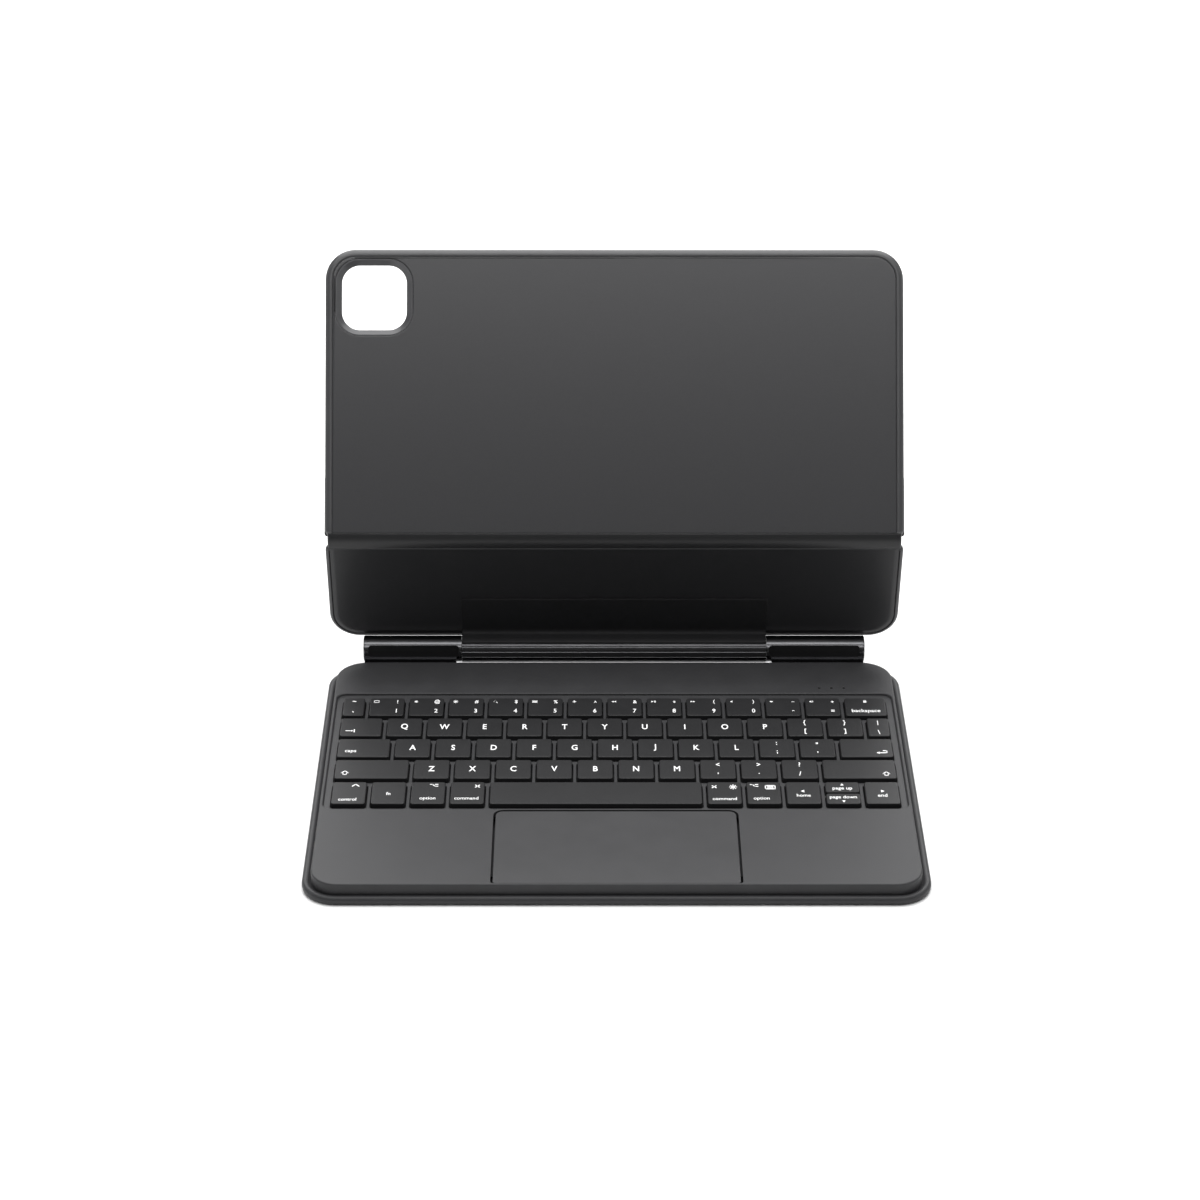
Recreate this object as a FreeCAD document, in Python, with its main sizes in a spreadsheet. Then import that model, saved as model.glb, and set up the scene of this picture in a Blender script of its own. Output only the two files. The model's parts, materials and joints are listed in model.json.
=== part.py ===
"""Keyboard case for an 11-inch tablet, open at its reading angle.

Frame: millimetres, +X right, +Y towards the hinge, +Z up.  The origin is on the
desk, on the middle line of the base and 90.65 behind its front edge.  Panel
pieces are drawn flat, with the fold line as their X axis, and then placed at
the fold.
"""
import FreeCAD
import Part
import math
import os
import Sketcher
from FreeCAD import Placement, Rotation, Vector

# Driving dimensions, in millimetres and degrees.
SIZES = {
    "base_width": 250.0, "base_depth": 182.7, "base_corner": 14.0, "base_shift": 0.7,
    "lip_height": 3.6, "lip_round": 1.2, "skin_floor": 1.0,
    "deck_width": 242.4, "deck_depth": 176.7, "deck_top": 8.2,
    "deck_front_corner": 11.0, "deck_rear_corner": 13.0, "deck_wall": 1.2,
    "deck_ceiling": 6.0, "deck_round": 0.7, "plate_thick": 0.8,
    "well_width": 239.6, "well_front": -31.75, "well_rear": 61.45,
    "well_depth": 1.2, "well_corner": 4.0, "well_round": 0.6, "hole_edge": 0.2,
    "key_gap": 2.22, "key_width": 14.8, "key_depth": 14.8, "key_pitch": 17.02,
    "key_block": 233.2, "key_rear": 56.2, "front_row_rear": -12.4,
    "front_row_depth": 16.9, "half_key_depth": 8.0, "modifier_width": 14.0,
    "grave_width": 9.14, "backspace_width": 17.6, "tab_width": 17.56,
    "backslash_width": 9.18, "caps_width": 21.85, "enter_width": 21.91,
    "left_shift_width": 30.5, "right_shift_width": 30.28, "space_width": 87.22,
    "key_bottom": 6.2, "key_height": 2.8, "key_corner": 1.2, "key_edge": 0.45,
    "key_wall": 0.9, "key_roof": 1.0, "key_clearance": 0.35,
    "pad_width": 98.0, "pad_rear": -33.7, "pad_front": -86.6, "pad_corner": 3.2, "pad_front_corner": 1.2,
    "pad_thick": 1.0, "pad_groove": 0.9, "pad_front_gap": 0.2, "pad_edge": 0.3, "pad_board": 0.7,
    "bracket_low": 3.6, "bracket_width": 108.0, "bracket_depth": 36.0, "bracket_front": -76.0,
    "bracket_side": 2.5, "bracket_tab": 80.0, "bracket_thick": 0.6, "click_radius": 3.0, "click_height": 1.5,
    "screw_radius": 0.8, "boss_radius": 2.0, "pilot_depth": 3.6, "screw_head": 0.38, "screw_length": 4.0,
    "post_radius": 0.7, "post_end": 2.9, "light_radius": 0.6, "fit": 0.05,
    "membrane_thick": 0.2, "support_thick": 0.5, "backlight_thick": 0.3, "membrane_low": 3.4,
    "board_length": 164.0, "board_depth": 14.0, "circuit_thick": 0.8, "chip_depth": 8.0, "chip_height": 1.2,
    "cell_width": 50.0, "cell_depth": 36.0, "cell_height": 3.4,
    "hold_width": 12.0, "hold_depth": 3.5, "hold_height": 2.0,
    "panel_width": 250.0, "panel_thick": 3.2, "panel_corner": 13.0,
    "panel_rim": 2.6, "panel_round": 1.1, "panel_skin": 0.6, "board_thick": 2.0,
    "groove": 0.25, "lining_thick": 0.5,
    "upper_length": 126.2, "lower_length": 55.0, "fold_gap": 2.0,
    "fold_height": 68.7, "fold_back": 88.35, "fold_radius": 1.5,
    "upper_lean": 30.72, "lower_lean": 13.95,
    "window": 28.0, "window_corner": 7.9, "window_bevel": 2.65,
    "window_side": 7.1, "window_top": 6.85,
    "band_length": 26.0, "band_thick": 0.4, "band_extra": 0.3,
    "barrel_back": 96.8, "barrel_height": 10.6, "barrel_radius": 5.8,
    "barrel_bore": 4.6, "barrel_end": 110.5, "barrel_inner": 67.2, "barrel_round": 0.6,
    "foot_low": 3.9, "foot_high": 8.0, "foot_inner": 69.5, "foot_outer": 109.9,
    "end_wall": 1.2, "spine_half": 67.0, "spine_radius": 6.1, "spine_groove": 0.45,
    "recess_middle": 88.3, "recess_angle": 16.0, "recess_floor": 4.95, "recess_corner": 1.5,
    "insert_length": 39.8, "insert_height": 4.8, "insert_thick": 0.3, "insert_gap": 0.2,
    "shaft_radius": 1.6, "shaft_inner": 58.0, "arm_radius": 2.6, "arm_outer": 100.0, "arm_inner": 72.0,
    "arm_thick": 1.2, "arm_front": 79.5, "arm_bend": 91.2, "arm_gap": 0.1,
    "clutch_radius": 3.6, "clutch_low": 68.8, "clutch_high": 71.6,
    "socket_width": 8.94, "socket_height": 3.26, "socket_length": 7.3, "socket_wall": 0.3,
    "socket_back": 1.0, "socket_inset": 0.3, "tongue_width": 6.7, "tongue_thick": 0.7, "tongue_length": 5.8,
    "flap_top": -32.1, "flap_thick": 0.5, "flap_bend": 2.0, "flap_end": 27.0, "bevel": 2.2, "bevel_back": 0.5,
    "magnet_length": 21.8, "magnet_width": 7.8, "magnet_thick": 1.5,
}

doc = FreeCAD.newDocument("tablet_keyboard_case")
sheet = doc.addObject("Spreadsheet::Sheet", "Sizes")
for row, (alias, number) in enumerate(SIZES.items(), start=1):
    sheet.set(f"A{row}", alias)
    sheet.set(f"B{row}", str(number))
    sheet.setAlias(f"B{row}", alias)
doc.recompute()

NODES = []


def size(alias):
    """The number in one cell of the sheet."""
    return float(sheet.get(alias))


# ---------------------------------------------------------------- helpers

def new_body(label):
    """A PartDesign body whose label names its file."""
    body = doc.addObject("PartDesign::Body", label)
    body.Label = label
    NODES.append(body)
    return body


def new_sketch(body, name, at=("0", "0", "0"), role="XY_Plane"):
    """An empty sketch on one of the body's own planes, shifted by expressions or a placement."""
    sketch = body.newObject("Sketcher::SketchObject", name)
    plane = next(item for item in body.Origin.OriginFeatures if item.Role == role)
    sketch.AttachmentSupport = [(plane, "")]
    sketch.MapMode = "FlatFace"
    if isinstance(at, Placement):
        sketch.AttachmentOffset = at
        return sketch
    for axis, expression in zip("xyz", at):
        sketch.setExpression(f"AttachmentOffset.Base.{axis}", expression)
    return sketch


def rounded(body, name, width, depth, corner, at=("0", "0", "0"), rear_corner=None, role="XY_Plane"):
    """A constrained rectangle about the sketch origin, its front and rear corners rounded."""
    rear_corner = rear_corner or corner
    sketch = new_sketch(body, name, at, role)
    half, turn = 10.0, 1.0
    inner = half - turn
    ends = (((-inner, -half), (inner, -half)), ((half, -inner), (half, inner)),
            ((inner, half), (-inner, half)), ((-half, inner), (-half, -inner)))
    for start, end in ends:
        sketch.addGeometry(Part.LineSegment(Vector(*start), Vector(*end)))
    centres = ((inner, -inner), (inner, inner), (-inner, inner), (-inner, -inner))
    for quarter, centre in enumerate(centres):
        circle = Part.Circle(Vector(*centre), Vector(0, 0, 1), turn)
        first = math.radians(90 * quarter - 90)
        sketch.addGeometry(Part.ArcOfCircle(circle, first, first + math.pi / 2))
    for side in range(4):
        sketch.addConstraint(Sketcher.Constraint("Tangent", side, 2, 4 + side, 1))
        sketch.addConstraint(Sketcher.Constraint("Tangent", 4 + side, 2, (side + 1) % 4, 1))
        if side > 0:
            sketch.addConstraint(Sketcher.Constraint("Vertical" if side % 2 else "Horizontal", side))
    sketch.addConstraint(Sketcher.Constraint("Equal", 4, 7))
    sketch.addConstraint(Sketcher.Constraint("Equal", 5, 6))
    sketch.addConstraint(Sketcher.Constraint("Symmetric", 0, 1, 0, 2, -2))
    drivers = (
        ("span", Sketcher.Constraint("DistanceX", 3, 1, 1, 2, 2 * half), width),
        ("front", Sketcher.Constraint("DistanceY", 0, 1, -1, 1, half), f"({depth}) / 2"),
        ("rear", Sketcher.Constraint("DistanceY", -1, 1, 2, 1, half), f"({depth}) / 2"),
        ("front_round", Sketcher.Constraint("Radius", 4, turn), corner),
        ("rear_round", Sketcher.Constraint("Radius", 5, turn), rear_corner),
    )
    for label, constraint, expression in drivers:
        sketch.renameConstraint(sketch.addConstraint(constraint), label)
        sketch.setExpression(f"Constraints.{label}", expression)
    return sketch


def circles(body, name, centres, radius, at=("0", "0", "0"), role="XY_Plane"):
    """Equal circles at fixed centres, their radius driven by the sheet."""
    sketch = new_sketch(body, name, at, role)
    for index, centre in enumerate(centres):
        circle = Part.Circle(Vector(*centre), Vector(0, 0, 1), 1.0)
        sketch.addGeometry(circle)
        driver = Sketcher.Constraint("Radius", index, 1.0)
        sketch.renameConstraint(sketch.addConstraint(driver), f"radius_{index}")
        sketch.setExpression(f"Constraints.radius_{index}", radius)
    return sketch


def outline(body, name, points, at=("0", "0", "0"), role="XY_Plane"):
    """One closed outline of straight lines."""
    sketch = new_sketch(body, name, at, role)
    add_loop(sketch, points)
    return sketch


def add_loop(sketch, points):
    """Add a closed loop of straight lines to a sketch."""
    for start, end in zip(points, points[1:] + points[:1]):
        sketch.addGeometry(Part.LineSegment(Vector(*start), Vector(*end)))


def rectangle_points(left, right, front, rear):
    return [(left, front), (right, front), (right, rear), (left, rear)]


def settle(body, feature):
    """Make a feature the tip of its body, and stop if it failed."""
    body.Tip = feature
    doc.recompute()
    if "Invalid" in feature.State or feature.Shape.isNull():
        raise RuntimeError(f"{body.Label}: {feature.Label} failed")
    return feature


def pad(body, name, sketch, length, reverse=False):
    """Raise a sketch by a length given as an expression."""
    feature = body.newObject("PartDesign::Pad", name)
    feature.Profile = sketch
    feature.Reversed = reverse
    feature.setExpression("Length", length)
    return settle(body, feature)


def pocket(body, name, sketch, length, reverse=False):
    """Cut a sketch into the body and make sure that material went away."""
    before = body.Tip.Shape.Volume
    feature = body.newObject("PartDesign::Pocket", name)
    feature.Profile = sketch
    feature.Reversed = reverse
    feature.setExpression("Length", length)
    settle(body, feature)
    if feature.Shape.Volume >= before:
        raise RuntimeError(f"{body.Label}: {name} cut nothing")
    return feature


def dress(body, kind, name, base, wanted, number):
    """Fillet or chamfer the edges of a feature that the wanted() test picks."""
    names = [f"Edge{i}" for i, edge in enumerate(base.Shape.Edges, start=1) if wanted(edge)]
    feature = body.newObject(f"PartDesign::{kind}", name)
    feature.Base = (base, names)
    feature.setExpression("Radius" if kind == "Fillet" else "Size", number)
    return settle(body, feature)


def level(edge, height, slack=0.01):
    """Whether an edge lies flat at one height."""
    box = edge.BoundBox
    return abs(box.ZMin - height) < slack and abs(box.ZMax - height) < slack


def place_panel(body, lean):
    """Stand a flat panel piece at the fold, leaning by degrees from upright."""
    body.Placement = Placement(Vector(0, size("fold_back"), size("fold_height")),
                               Rotation(Vector(1, 0, 0), 90 + lean))


def place_upper(body):
    place_panel(body, -size("upper_lean"))


def place_lower(body):
    place_panel(body, size("lower_lean"))


def box(name, length, width, height, at):
    """A Part box, its three sizes bound to the sheet, with its low corner at a point."""
    item = doc.addObject("Part::Box", name)
    for prop, expression in zip(("Length", "Width", "Height"), (length, width, height)):
        item.setExpression(prop, expression)
    item.Placement.Base = Vector(*at)
    return item


def cylinder(name, radius, height, at, axis=Vector(0, 0, 1)):
    """A Part cylinder that starts at a point and runs along an axis."""
    item = doc.addObject("Part::Cylinder", name)
    item.setExpression("Radius", radius)
    item.setExpression("Height", height)
    item.Placement = Placement(Vector(*at), Rotation(Vector(0, 0, 1), axis))
    return item


def group(label, items):
    """Separate solids that make one sub-part."""
    item = doc.addObject("Part::Compound", label)
    item.Label = label
    item.Links = items
    NODES.append(item)
    return item


def fused(label, items):
    """Primitives joined into one solid."""
    item = doc.addObject("Part::MultiFuse", label)
    item.Label = label
    item.Shapes = items
    NODES.append(item)
    return item


def shaped(label, solids):
    """A sub-part whose repeated solids stand at irregular places."""
    item = doc.addObject("Part::Feature", label)
    item.Label = label
    item.Shape = Part.makeCompound(solids)
    NODES.append(item)
    return item


# ---------------------------------------------------------------- key layout

# Each row from left to right: sub-part, width cell, number of equal keys in a run.
KEY_ROWS = (
    (("key_grave", "grave_width", 1), ("number_keys", "key_width", 12),
     ("key_backspace", "backspace_width", 1)),
    (("key_tab", "tab_width", 1), ("top_letter_keys", "key_width", 12),
     ("key_backslash", "backslash_width", 1)),
    (("key_caps_lock", "caps_width", 1), ("middle_letter_keys", "key_width", 11),
     ("key_enter", "enter_width", 1)),
    (("key_left_shift", "left_shift_width", 1), ("bottom_letter_keys", "key_width", 10),
     ("key_right_shift", "right_shift_width", 1)),
    (("key_control", "modifier_width", 1), ("key_fn", "modifier_width", 1),
     ("key_left_alt", "modifier_width", 1), ("key_left_cmd", "modifier_width", 1),
     ("key_space", "space_width", 1), ("key_right_cmd", "modifier_width", 1),
     ("key_right_alt", "modifier_width", 1), ("key_left_arrow", "modifier_width", 1),
     ("key_up_arrow", "modifier_width", 1), ("key_right_arrow", "modifier_width", 1)),
)


def key_runs():
    """Every run of keys: label, width cell, count, depth cell, first centre."""
    runs = []
    for index, keys in enumerate(KEY_ROWS):
        front_row = index == len(KEY_ROWS) - 1
        rear = size("front_row_rear") if front_row else size("key_rear") - index * size("key_pitch")
        depth = "front_row_depth" if front_row else "key_depth"
        left = -size("key_block") / 2
        for label, width, count in keys:
            x = left + size(width) / 2
            left += count * (size(width) + size("key_gap"))
            if label == "key_up_arrow":
                half = size("half_key_depth")
                front = rear - size(depth)
                runs.append((label, width, count, "half_key_depth", x, rear - half / 2))
                runs.append(("key_down_arrow", width, count, "half_key_depth", x, front + half / 2))
            else:
                runs.append((label, width, count, depth, x, rear - size(depth) / 2))
    return runs


def key_cells():
    """Every single key as centre x, centre y, width and depth."""
    cells = []
    for label, width, count, depth, x, y in key_runs():
        for step in range(count):
            cells.append((x + step * size("key_pitch"), y, size(width), size(depth)))
    return cells


RUNS = key_runs()
CELLS = key_cells()
SCREWS = [(side * x, y) for side in (-1, 1)
          for x, y in ((114.5, -60.0), (53.5, -80.0), (114.5, 74.0), (40.0, 82.5))]
POSTS = [(x, size("key_rear") - size("key_depth") - size("key_gap") / 2 - row * size("key_pitch"))
         for row in range(3) for x in (-104.0, -52.0, 0.0, 52.0, 104.0)]
LIGHTS = [(x, 66.1) for x in (89.0, 94.3, 99.6)]
STACK_TOP = size("membrane_low") + size("membrane_thick")
DOME_HEIGHT = 2.9


# ---------------------------------------------------------------- base

def base_cover_skin():
    """Leather underside with a rounded lip that stands out round the deck."""
    body = new_body("base_cover_skin")
    sketch = rounded(body, "CoverOutline", "Sizes.base_width", "Sizes.base_depth", "Sizes.base_corner",
                     ("0", "Sizes.base_shift", "0"))
    pad(body, "Cover", sketch, "Sizes.lip_height")
    seat = rounded(body, "DeckSeat", "Sizes.deck_width", "Sizes.deck_depth",
                   "Sizes.deck_front_corner", ("0", "Sizes.base_shift", "Sizes.lip_height"),
                   "Sizes.deck_rear_corner")
    cut = pocket(body, "Seat", seat, "Sizes.lip_height - Sizes.skin_floor")
    top, reach = size("lip_height"), size("deck_width") / 2 + 0.1

    def outer(edge):
        flat = level(edge, 0) or level(edge, top)
        point = middle_of(edge)
        beyond_side = abs(point.x) > reach
        beyond_end = abs(point.y - size("base_shift")) > size("deck_depth") / 2 + 0.1
        return flat and (beyond_side or beyond_end)

    dress(body, "Fillet", "LipRound", cut, outer, "Sizes.lip_round")


def bottom_plate():
    """Thin metal sheet under the works, screwed up into the deck."""
    body = new_body("bottom_plate")
    inset = "(2 * Sizes.deck_wall + 0.4)"
    sketch = rounded(body, "PlateOutline", f"Sizes.deck_width - {inset}", f"Sizes.deck_depth - {inset}",
                     "Sizes.deck_front_corner - Sizes.deck_wall",
                     ("0", "Sizes.base_shift", "Sizes.skin_floor"),
                     "Sizes.deck_rear_corner - Sizes.deck_wall")
    pad(body, "Plate", sketch, "Sizes.plate_thick")
    holes = circles(body, "ScrewHoles", SCREWS, "Sizes.screw_radius + 0.1", ("0", "0", "Sizes.skin_floor"))
    pocket(body, "Holes", holes, "Sizes.plate_thick", reverse=True)
    seats = circles(body, "HeadSeats", SCREWS, "Sizes.boss_radius", ("0", "0", "Sizes.skin_floor"))
    pocket(body, "Seats", seats, "Sizes.plate_thick / 2", reverse=True)


def keyboard_deck():
    """Top shell: palm rest, key well with its webs, and the trackpad opening."""
    body = new_body("keyboard_deck")
    sketch = rounded(body, "DeckOutline", "Sizes.deck_width", "Sizes.deck_depth", "Sizes.deck_front_corner",
                     ("0", "Sizes.base_shift", "Sizes.skin_floor"), "Sizes.deck_rear_corner")
    block = pad(body, "Block", sketch, "Sizes.deck_top - Sizes.skin_floor")
    dress(body, "Fillet", "DeckRound", block, lambda edge: level(edge, size("deck_top")), "Sizes.deck_round")
    cavity = rounded(body, "CavityOutline", "Sizes.deck_width - 2 * Sizes.deck_wall",
                     "Sizes.deck_depth - 2 * Sizes.deck_wall", "Sizes.deck_front_corner - Sizes.deck_wall",
                     ("0", "Sizes.base_shift", "Sizes.skin_floor"),
                     "Sizes.deck_rear_corner - Sizes.deck_wall")
    pocket(body, "Cavity", cavity, "Sizes.deck_ceiling - Sizes.skin_floor", reverse=True)
    well = rounded(body, "WellOutline", "Sizes.well_width", "Sizes.well_rear - Sizes.well_front",
                   "Sizes.well_corner", ("0", "(Sizes.well_rear + Sizes.well_front) / 2", "Sizes.deck_top"))
    cut = pocket(body, "Well", well, "Sizes.well_depth")
    dress(body, "Fillet", "WellRound", cut, well_rim, "Sizes.well_round")
    deck_key_holes(body)
    deck_pad_opening(body)
    lights = circles(body, "LightHoles", LIGHTS, "Sizes.light_radius", ("0", "0", "Sizes.deck_top"))
    pocket(body, "Lights", lights, "Sizes.deck_top - Sizes.deck_ceiling")
    ceiling = ("0", "0", "Sizes.deck_ceiling + 0.5")
    bosses = circles(body, "BossCircles", SCREWS, "Sizes.boss_radius", ceiling)
    pad(body, "Bosses", bosses, "Sizes.deck_ceiling + 0.5 - Sizes.skin_floor - Sizes.plate_thick",
        reverse=True)
    pilots = circles(body, "PilotCircles", SCREWS, "Sizes.screw_radius + Sizes.fit",
                     ("0", "0", "Sizes.skin_floor + Sizes.plate_thick"))
    pocket(body, "Pilots", pilots, "Sizes.pilot_depth", reverse=True)
    posts = circles(body, "PostCircles", POSTS, "Sizes.post_radius", ceiling)
    pad(body, "Posts", posts, "Sizes.deck_ceiling + 0.5 - Sizes.post_end", reverse=True)
    slots = new_sketch(body, "ArmSlotOutline", ("0", "0", "Sizes.deck_ceiling + Sizes.arm_gap"))
    rear = deck_rear()
    for side in (-1, 1):
        add_loop(slots, rectangle_points(*arm_slot(side), rear - size("deck_wall") - 0.2, rear + 1))
    pocket(body, "ArmSlots", slots, "Sizes.arm_thick + 2 * Sizes.arm_gap")


def deck_rear():
    """Y of the deck's rear face."""
    return size("base_shift") + size("deck_depth") / 2


def arm_slot(side):
    """Both ends in X of the slot that a hinge arm goes through."""
    return sorted((side * (size("arm_inner") - 0.5), side * (size("arm_outer") + 0.5)))


def deck_key_holes(body):
    """One rounded hole for each key, through the floor of the well."""
    holes = new_sketch(body, "KeyHoleOutlines", ("0", "0", "Sizes.deck_top - Sizes.well_depth"))
    gap, turn = size("key_clearance"), size("key_corner")
    for x, y, width, depth in CELLS:
        half_width, half_depth = width / 2 + gap, depth / 2 + gap
        across, along = half_width - turn, half_depth - turn
        for side in (-1, 1):
            holes.addGeometry(Part.LineSegment(Vector(x - side * across, y - side * half_depth),
                                               Vector(x + side * across, y - side * half_depth)))
            holes.addGeometry(Part.LineSegment(Vector(x + side * half_width, y - side * along),
                                               Vector(x + side * half_width, y + side * along)))
        for quarter, (sx, sy) in enumerate(((1, -1), (1, 1), (-1, 1), (-1, -1))):
            circle = Part.Circle(Vector(x + sx * across, y + sy * along), Vector(0, 0, 1), turn)
            first = math.radians(90 * quarter - 90)
            holes.addGeometry(Part.ArcOfCircle(circle, first, first + math.pi / 2))
    cut = pocket(body, "KeyHoles", holes, "Sizes.deck_top - Sizes.well_depth - Sizes.deck_ceiling")
    dress(body, "Chamfer", "HoleEdges", cut, hole_rim, "Sizes.hole_edge")


def middle_of(edge):
    """The point halfway along an edge."""
    return edge.valueAt((edge.FirstParameter + edge.LastParameter) / 2)


def well_rim(edge):
    """Whether an edge is part of the top of the key well's wall."""
    span, slack = edge.BoundBox, 0.01
    reach = size("well_width") / 2 + slack
    inside = span.YMin > size("well_front") - slack and span.YMax < size("well_rear") + slack
    return level(edge, size("deck_top")) and max(abs(span.XMin), abs(span.XMax)) < reach and inside


def hole_rim(edge):
    """Whether an edge is the rim of a key hole.  The two half keys' thin web keeps sharp edges."""
    margin = 1.0
    middle = middle_of(edge)
    half_keys = [x for label, width, count, depth, x, y in RUNS if depth == "half_key_depth"]
    beside = abs(middle.x - half_keys[0]) < size("modifier_width") / 2 + margin
    between = beside and middle.y < size("front_row_rear") + margin
    within = abs(middle.x) < size("key_block") / 2 + margin
    return level(edge, size("deck_top") - size("well_depth")) and within and not between


def deck_pad_opening(body):
    """Opening for the trackpad, closed at the front by a thin edge of the deck."""
    groove, gap = "Sizes.pad_groove", "Sizes.pad_front_gap"
    middle = f"(Sizes.pad_rear + {groove} + Sizes.pad_front - {gap}) / 2"
    opening = rounded(body, "PadOpeningOutline", f"Sizes.pad_width + 2 * {groove}",
                      f"Sizes.pad_rear + {groove} - Sizes.pad_front + {gap}",
                      f"Sizes.pad_front_corner + {gap}", ("0", middle, "Sizes.deck_top"),
                      f"Sizes.pad_corner + {groove}")
    pocket(body, "PadOpening", opening, "Sizes.deck_top - Sizes.deck_ceiling + 0.4")


def base_screws():
    """Eight flat-headed screws through the bottom plate."""
    floor = size("skin_floor")
    solids = []
    for x, y in SCREWS:
        head = Part.makeCylinder(size("boss_radius") - 0.1, size("screw_head"), Vector(x, y, floor))
        shank = Part.makeCylinder(size("screw_radius"), size("screw_length"), Vector(x, y, floor + 0.2))
        solids.append(head.fuse(shank).removeSplitter())
    shaped("base_screws", solids)


def key_stack():
    """Sheets under the keys: backlight, support plate and membrane."""
    support = "Sizes.membrane_low - Sizes.support_thick"
    layers = (("backlight_sheet", "Sizes.backlight_thick", f"{support} - Sizes.backlight_thick - 0.1"),
              ("key_support_plate", "Sizes.support_thick", support),
              ("membrane_sheet", "Sizes.membrane_thick", "Sizes.membrane_low"))
    for label, thick, low in layers:
        body = new_body(label)
        sketch = rounded(body, "SheetOutline", "Sizes.well_width - 1.6",
                         "Sizes.well_rear - Sizes.well_front - 2", "Sizes.well_corner",
                         ("0", "(Sizes.well_rear + Sizes.well_front) / 2", low))
        pad(body, "Sheet", sketch, thick)
        if label != "backlight_sheet":
            holes = circles(body, "PostHoles", POSTS, "Sizes.post_radius + 0.1", ("0", "0", low))
            pocket(body, "Holes", holes, thick, reverse=True)


def rubber_domes():
    """A hollow dome under the middle of each key."""
    low, high, foot, crown, wall = STACK_TOP, STACK_TOP + DOME_HEIGHT, 2.2, 1.6, 0.5
    points = [(0, high - wall), (crown - wall, high - wall), (foot - wall, low), (foot, low),
              (crown, high), (0, high)]
    profile = Part.makePolygon([Vector(x, 0, z) for x, z in points + points[:1]])
    dome = Part.Face(profile).revolve(Vector(), Vector(0, 0, 1), 360)
    shaped("rubber_domes", [dome.translated(Vector(x, y, 0)) for x, y, width, depth in CELLS])


def scissor_links():
    """Crossed plastic links at both sides of each dome, raised."""
    thick, rail, widest, margin = 0.6, 0.8, 11.0, 2.5
    solids = []
    for x, y, width, depth in CELLS:
        span = min(widest, depth - margin) - thick
        reach = min(widest, width - margin) / 2 - rail
        tilt = math.degrees(math.atan2(DOME_HEIGHT - 2 * thick, span))
        bar = Part.makeBox(rail, span, thick, Vector(-rail / 2, -span / 2, -thick / 2))
        cross = bar.rotated(Vector(), Vector(1, 0, 0), tilt)
        cross = cross.fuse(bar.rotated(Vector(), Vector(1, 0, 0), -tilt))
        for side in (-1, 1):
            centre = Vector(x + side * (reach + rail / 2), y, STACK_TOP + DOME_HEIGHT / 2)
            solids.append(cross.translated(centre))
    shaped("scissor_links", solids)


def key_caps():
    """Key caps: single pieces, and rows of equal letter keys in one piece each."""
    for label, width, count, depth, x, y in RUNS:
        body = new_body(label)
        sketch = rounded(body, "CapOutline", f"Sizes.{width}", f"Sizes.{depth}", "Sizes.key_corner")
        block = pad(body, "Cap", sketch, "Sizes.key_height")
        edge = dress(body, "Fillet", "CapEdge", block,
                     lambda item: level(item, size("key_height")), "Sizes.key_edge")
        hollow = rounded(body, "HollowOutline", f"Sizes.{width} - 2 * Sizes.key_wall",
                         f"Sizes.{depth} - 2 * Sizes.key_wall", "Sizes.key_corner / 2")
        cut = pocket(body, "Hollow", hollow, "Sizes.key_height - Sizes.key_roof", reverse=True)
        if count > 1:
            row = body.newObject("PartDesign::LinearPattern", "Row")
            row.Originals = [block, edge, cut]
            row.Direction = (sketch, ["H_Axis"])
            row.setExpression("Length", f"Sizes.key_pitch * {count - 1}")
            row.Occurrences = count
            body.Tip = row
        body.Placement.Base = Vector(x, y, size("key_bottom"))


def trackpad():
    """Glass trackpad with softly rounded edges, its board, its bracket and its switch."""
    plate = new_body("trackpad_plate")
    middle = "(Sizes.pad_rear + Sizes.pad_front) / 2"
    length = "Sizes.pad_rear - Sizes.pad_front"
    sketch = rounded(plate, "PadOutline", "Sizes.pad_width", length, "Sizes.pad_front_corner",
                     ("0", middle, "Sizes.deck_top - Sizes.pad_thick"), "Sizes.pad_corner")
    glass = pad(plate, "Glass", sketch, "Sizes.pad_thick")
    top, front = size("deck_top"), size("pad_front")
    dress(plate, "Fillet", "PadRound", glass, lambda edge: level(edge, top), "Sizes.pad_edge")
    board_low = top - size("pad_thick") - size("pad_board")
    board = box("trackpad_board", "Sizes.pad_width - 4", "Sizes.pad_rear - Sizes.pad_front - 5",
                "Sizes.pad_board", (-size("pad_width") / 2 + 2, front + 2, board_low))
    board.Label = "trackpad_board"
    NODES.append(board)
    trackpad_bracket(board_low)


def trackpad_bracket(board_low):
    """Bracket under the trackpad, with a tab at its rear and the click switch near its front."""
    low, front, half = size("bracket_low"), size("bracket_front"), size("bracket_width") / 2
    tray = box("BracketTray", "Sizes.bracket_width", "Sizes.bracket_depth", "Sizes.bracket_thick",
               (-half, front, low))
    sides = [box("BracketSide", "Sizes.bracket_side", "Sizes.bracket_depth",
                 "Sizes.deck_ceiling - Sizes.bracket_low", (x, front, low))
             for x in (-half, half - size("bracket_side"))]
    tab = box("BracketTab", "Sizes.bracket_tab", "1.5", str(board_low - low - 0.3),
              (-size("bracket_tab") / 2, front + size("bracket_depth") - 1.5, low))
    fused("trackpad_bracket", [tray, *sides, tab])
    switch = cylinder("trackpad_switch", "Sizes.click_radius", "Sizes.click_height",
                      (0, front + 4, low + size("bracket_thick")))
    switch.Label = "trackpad_switch"
    NODES.append(switch)


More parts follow.
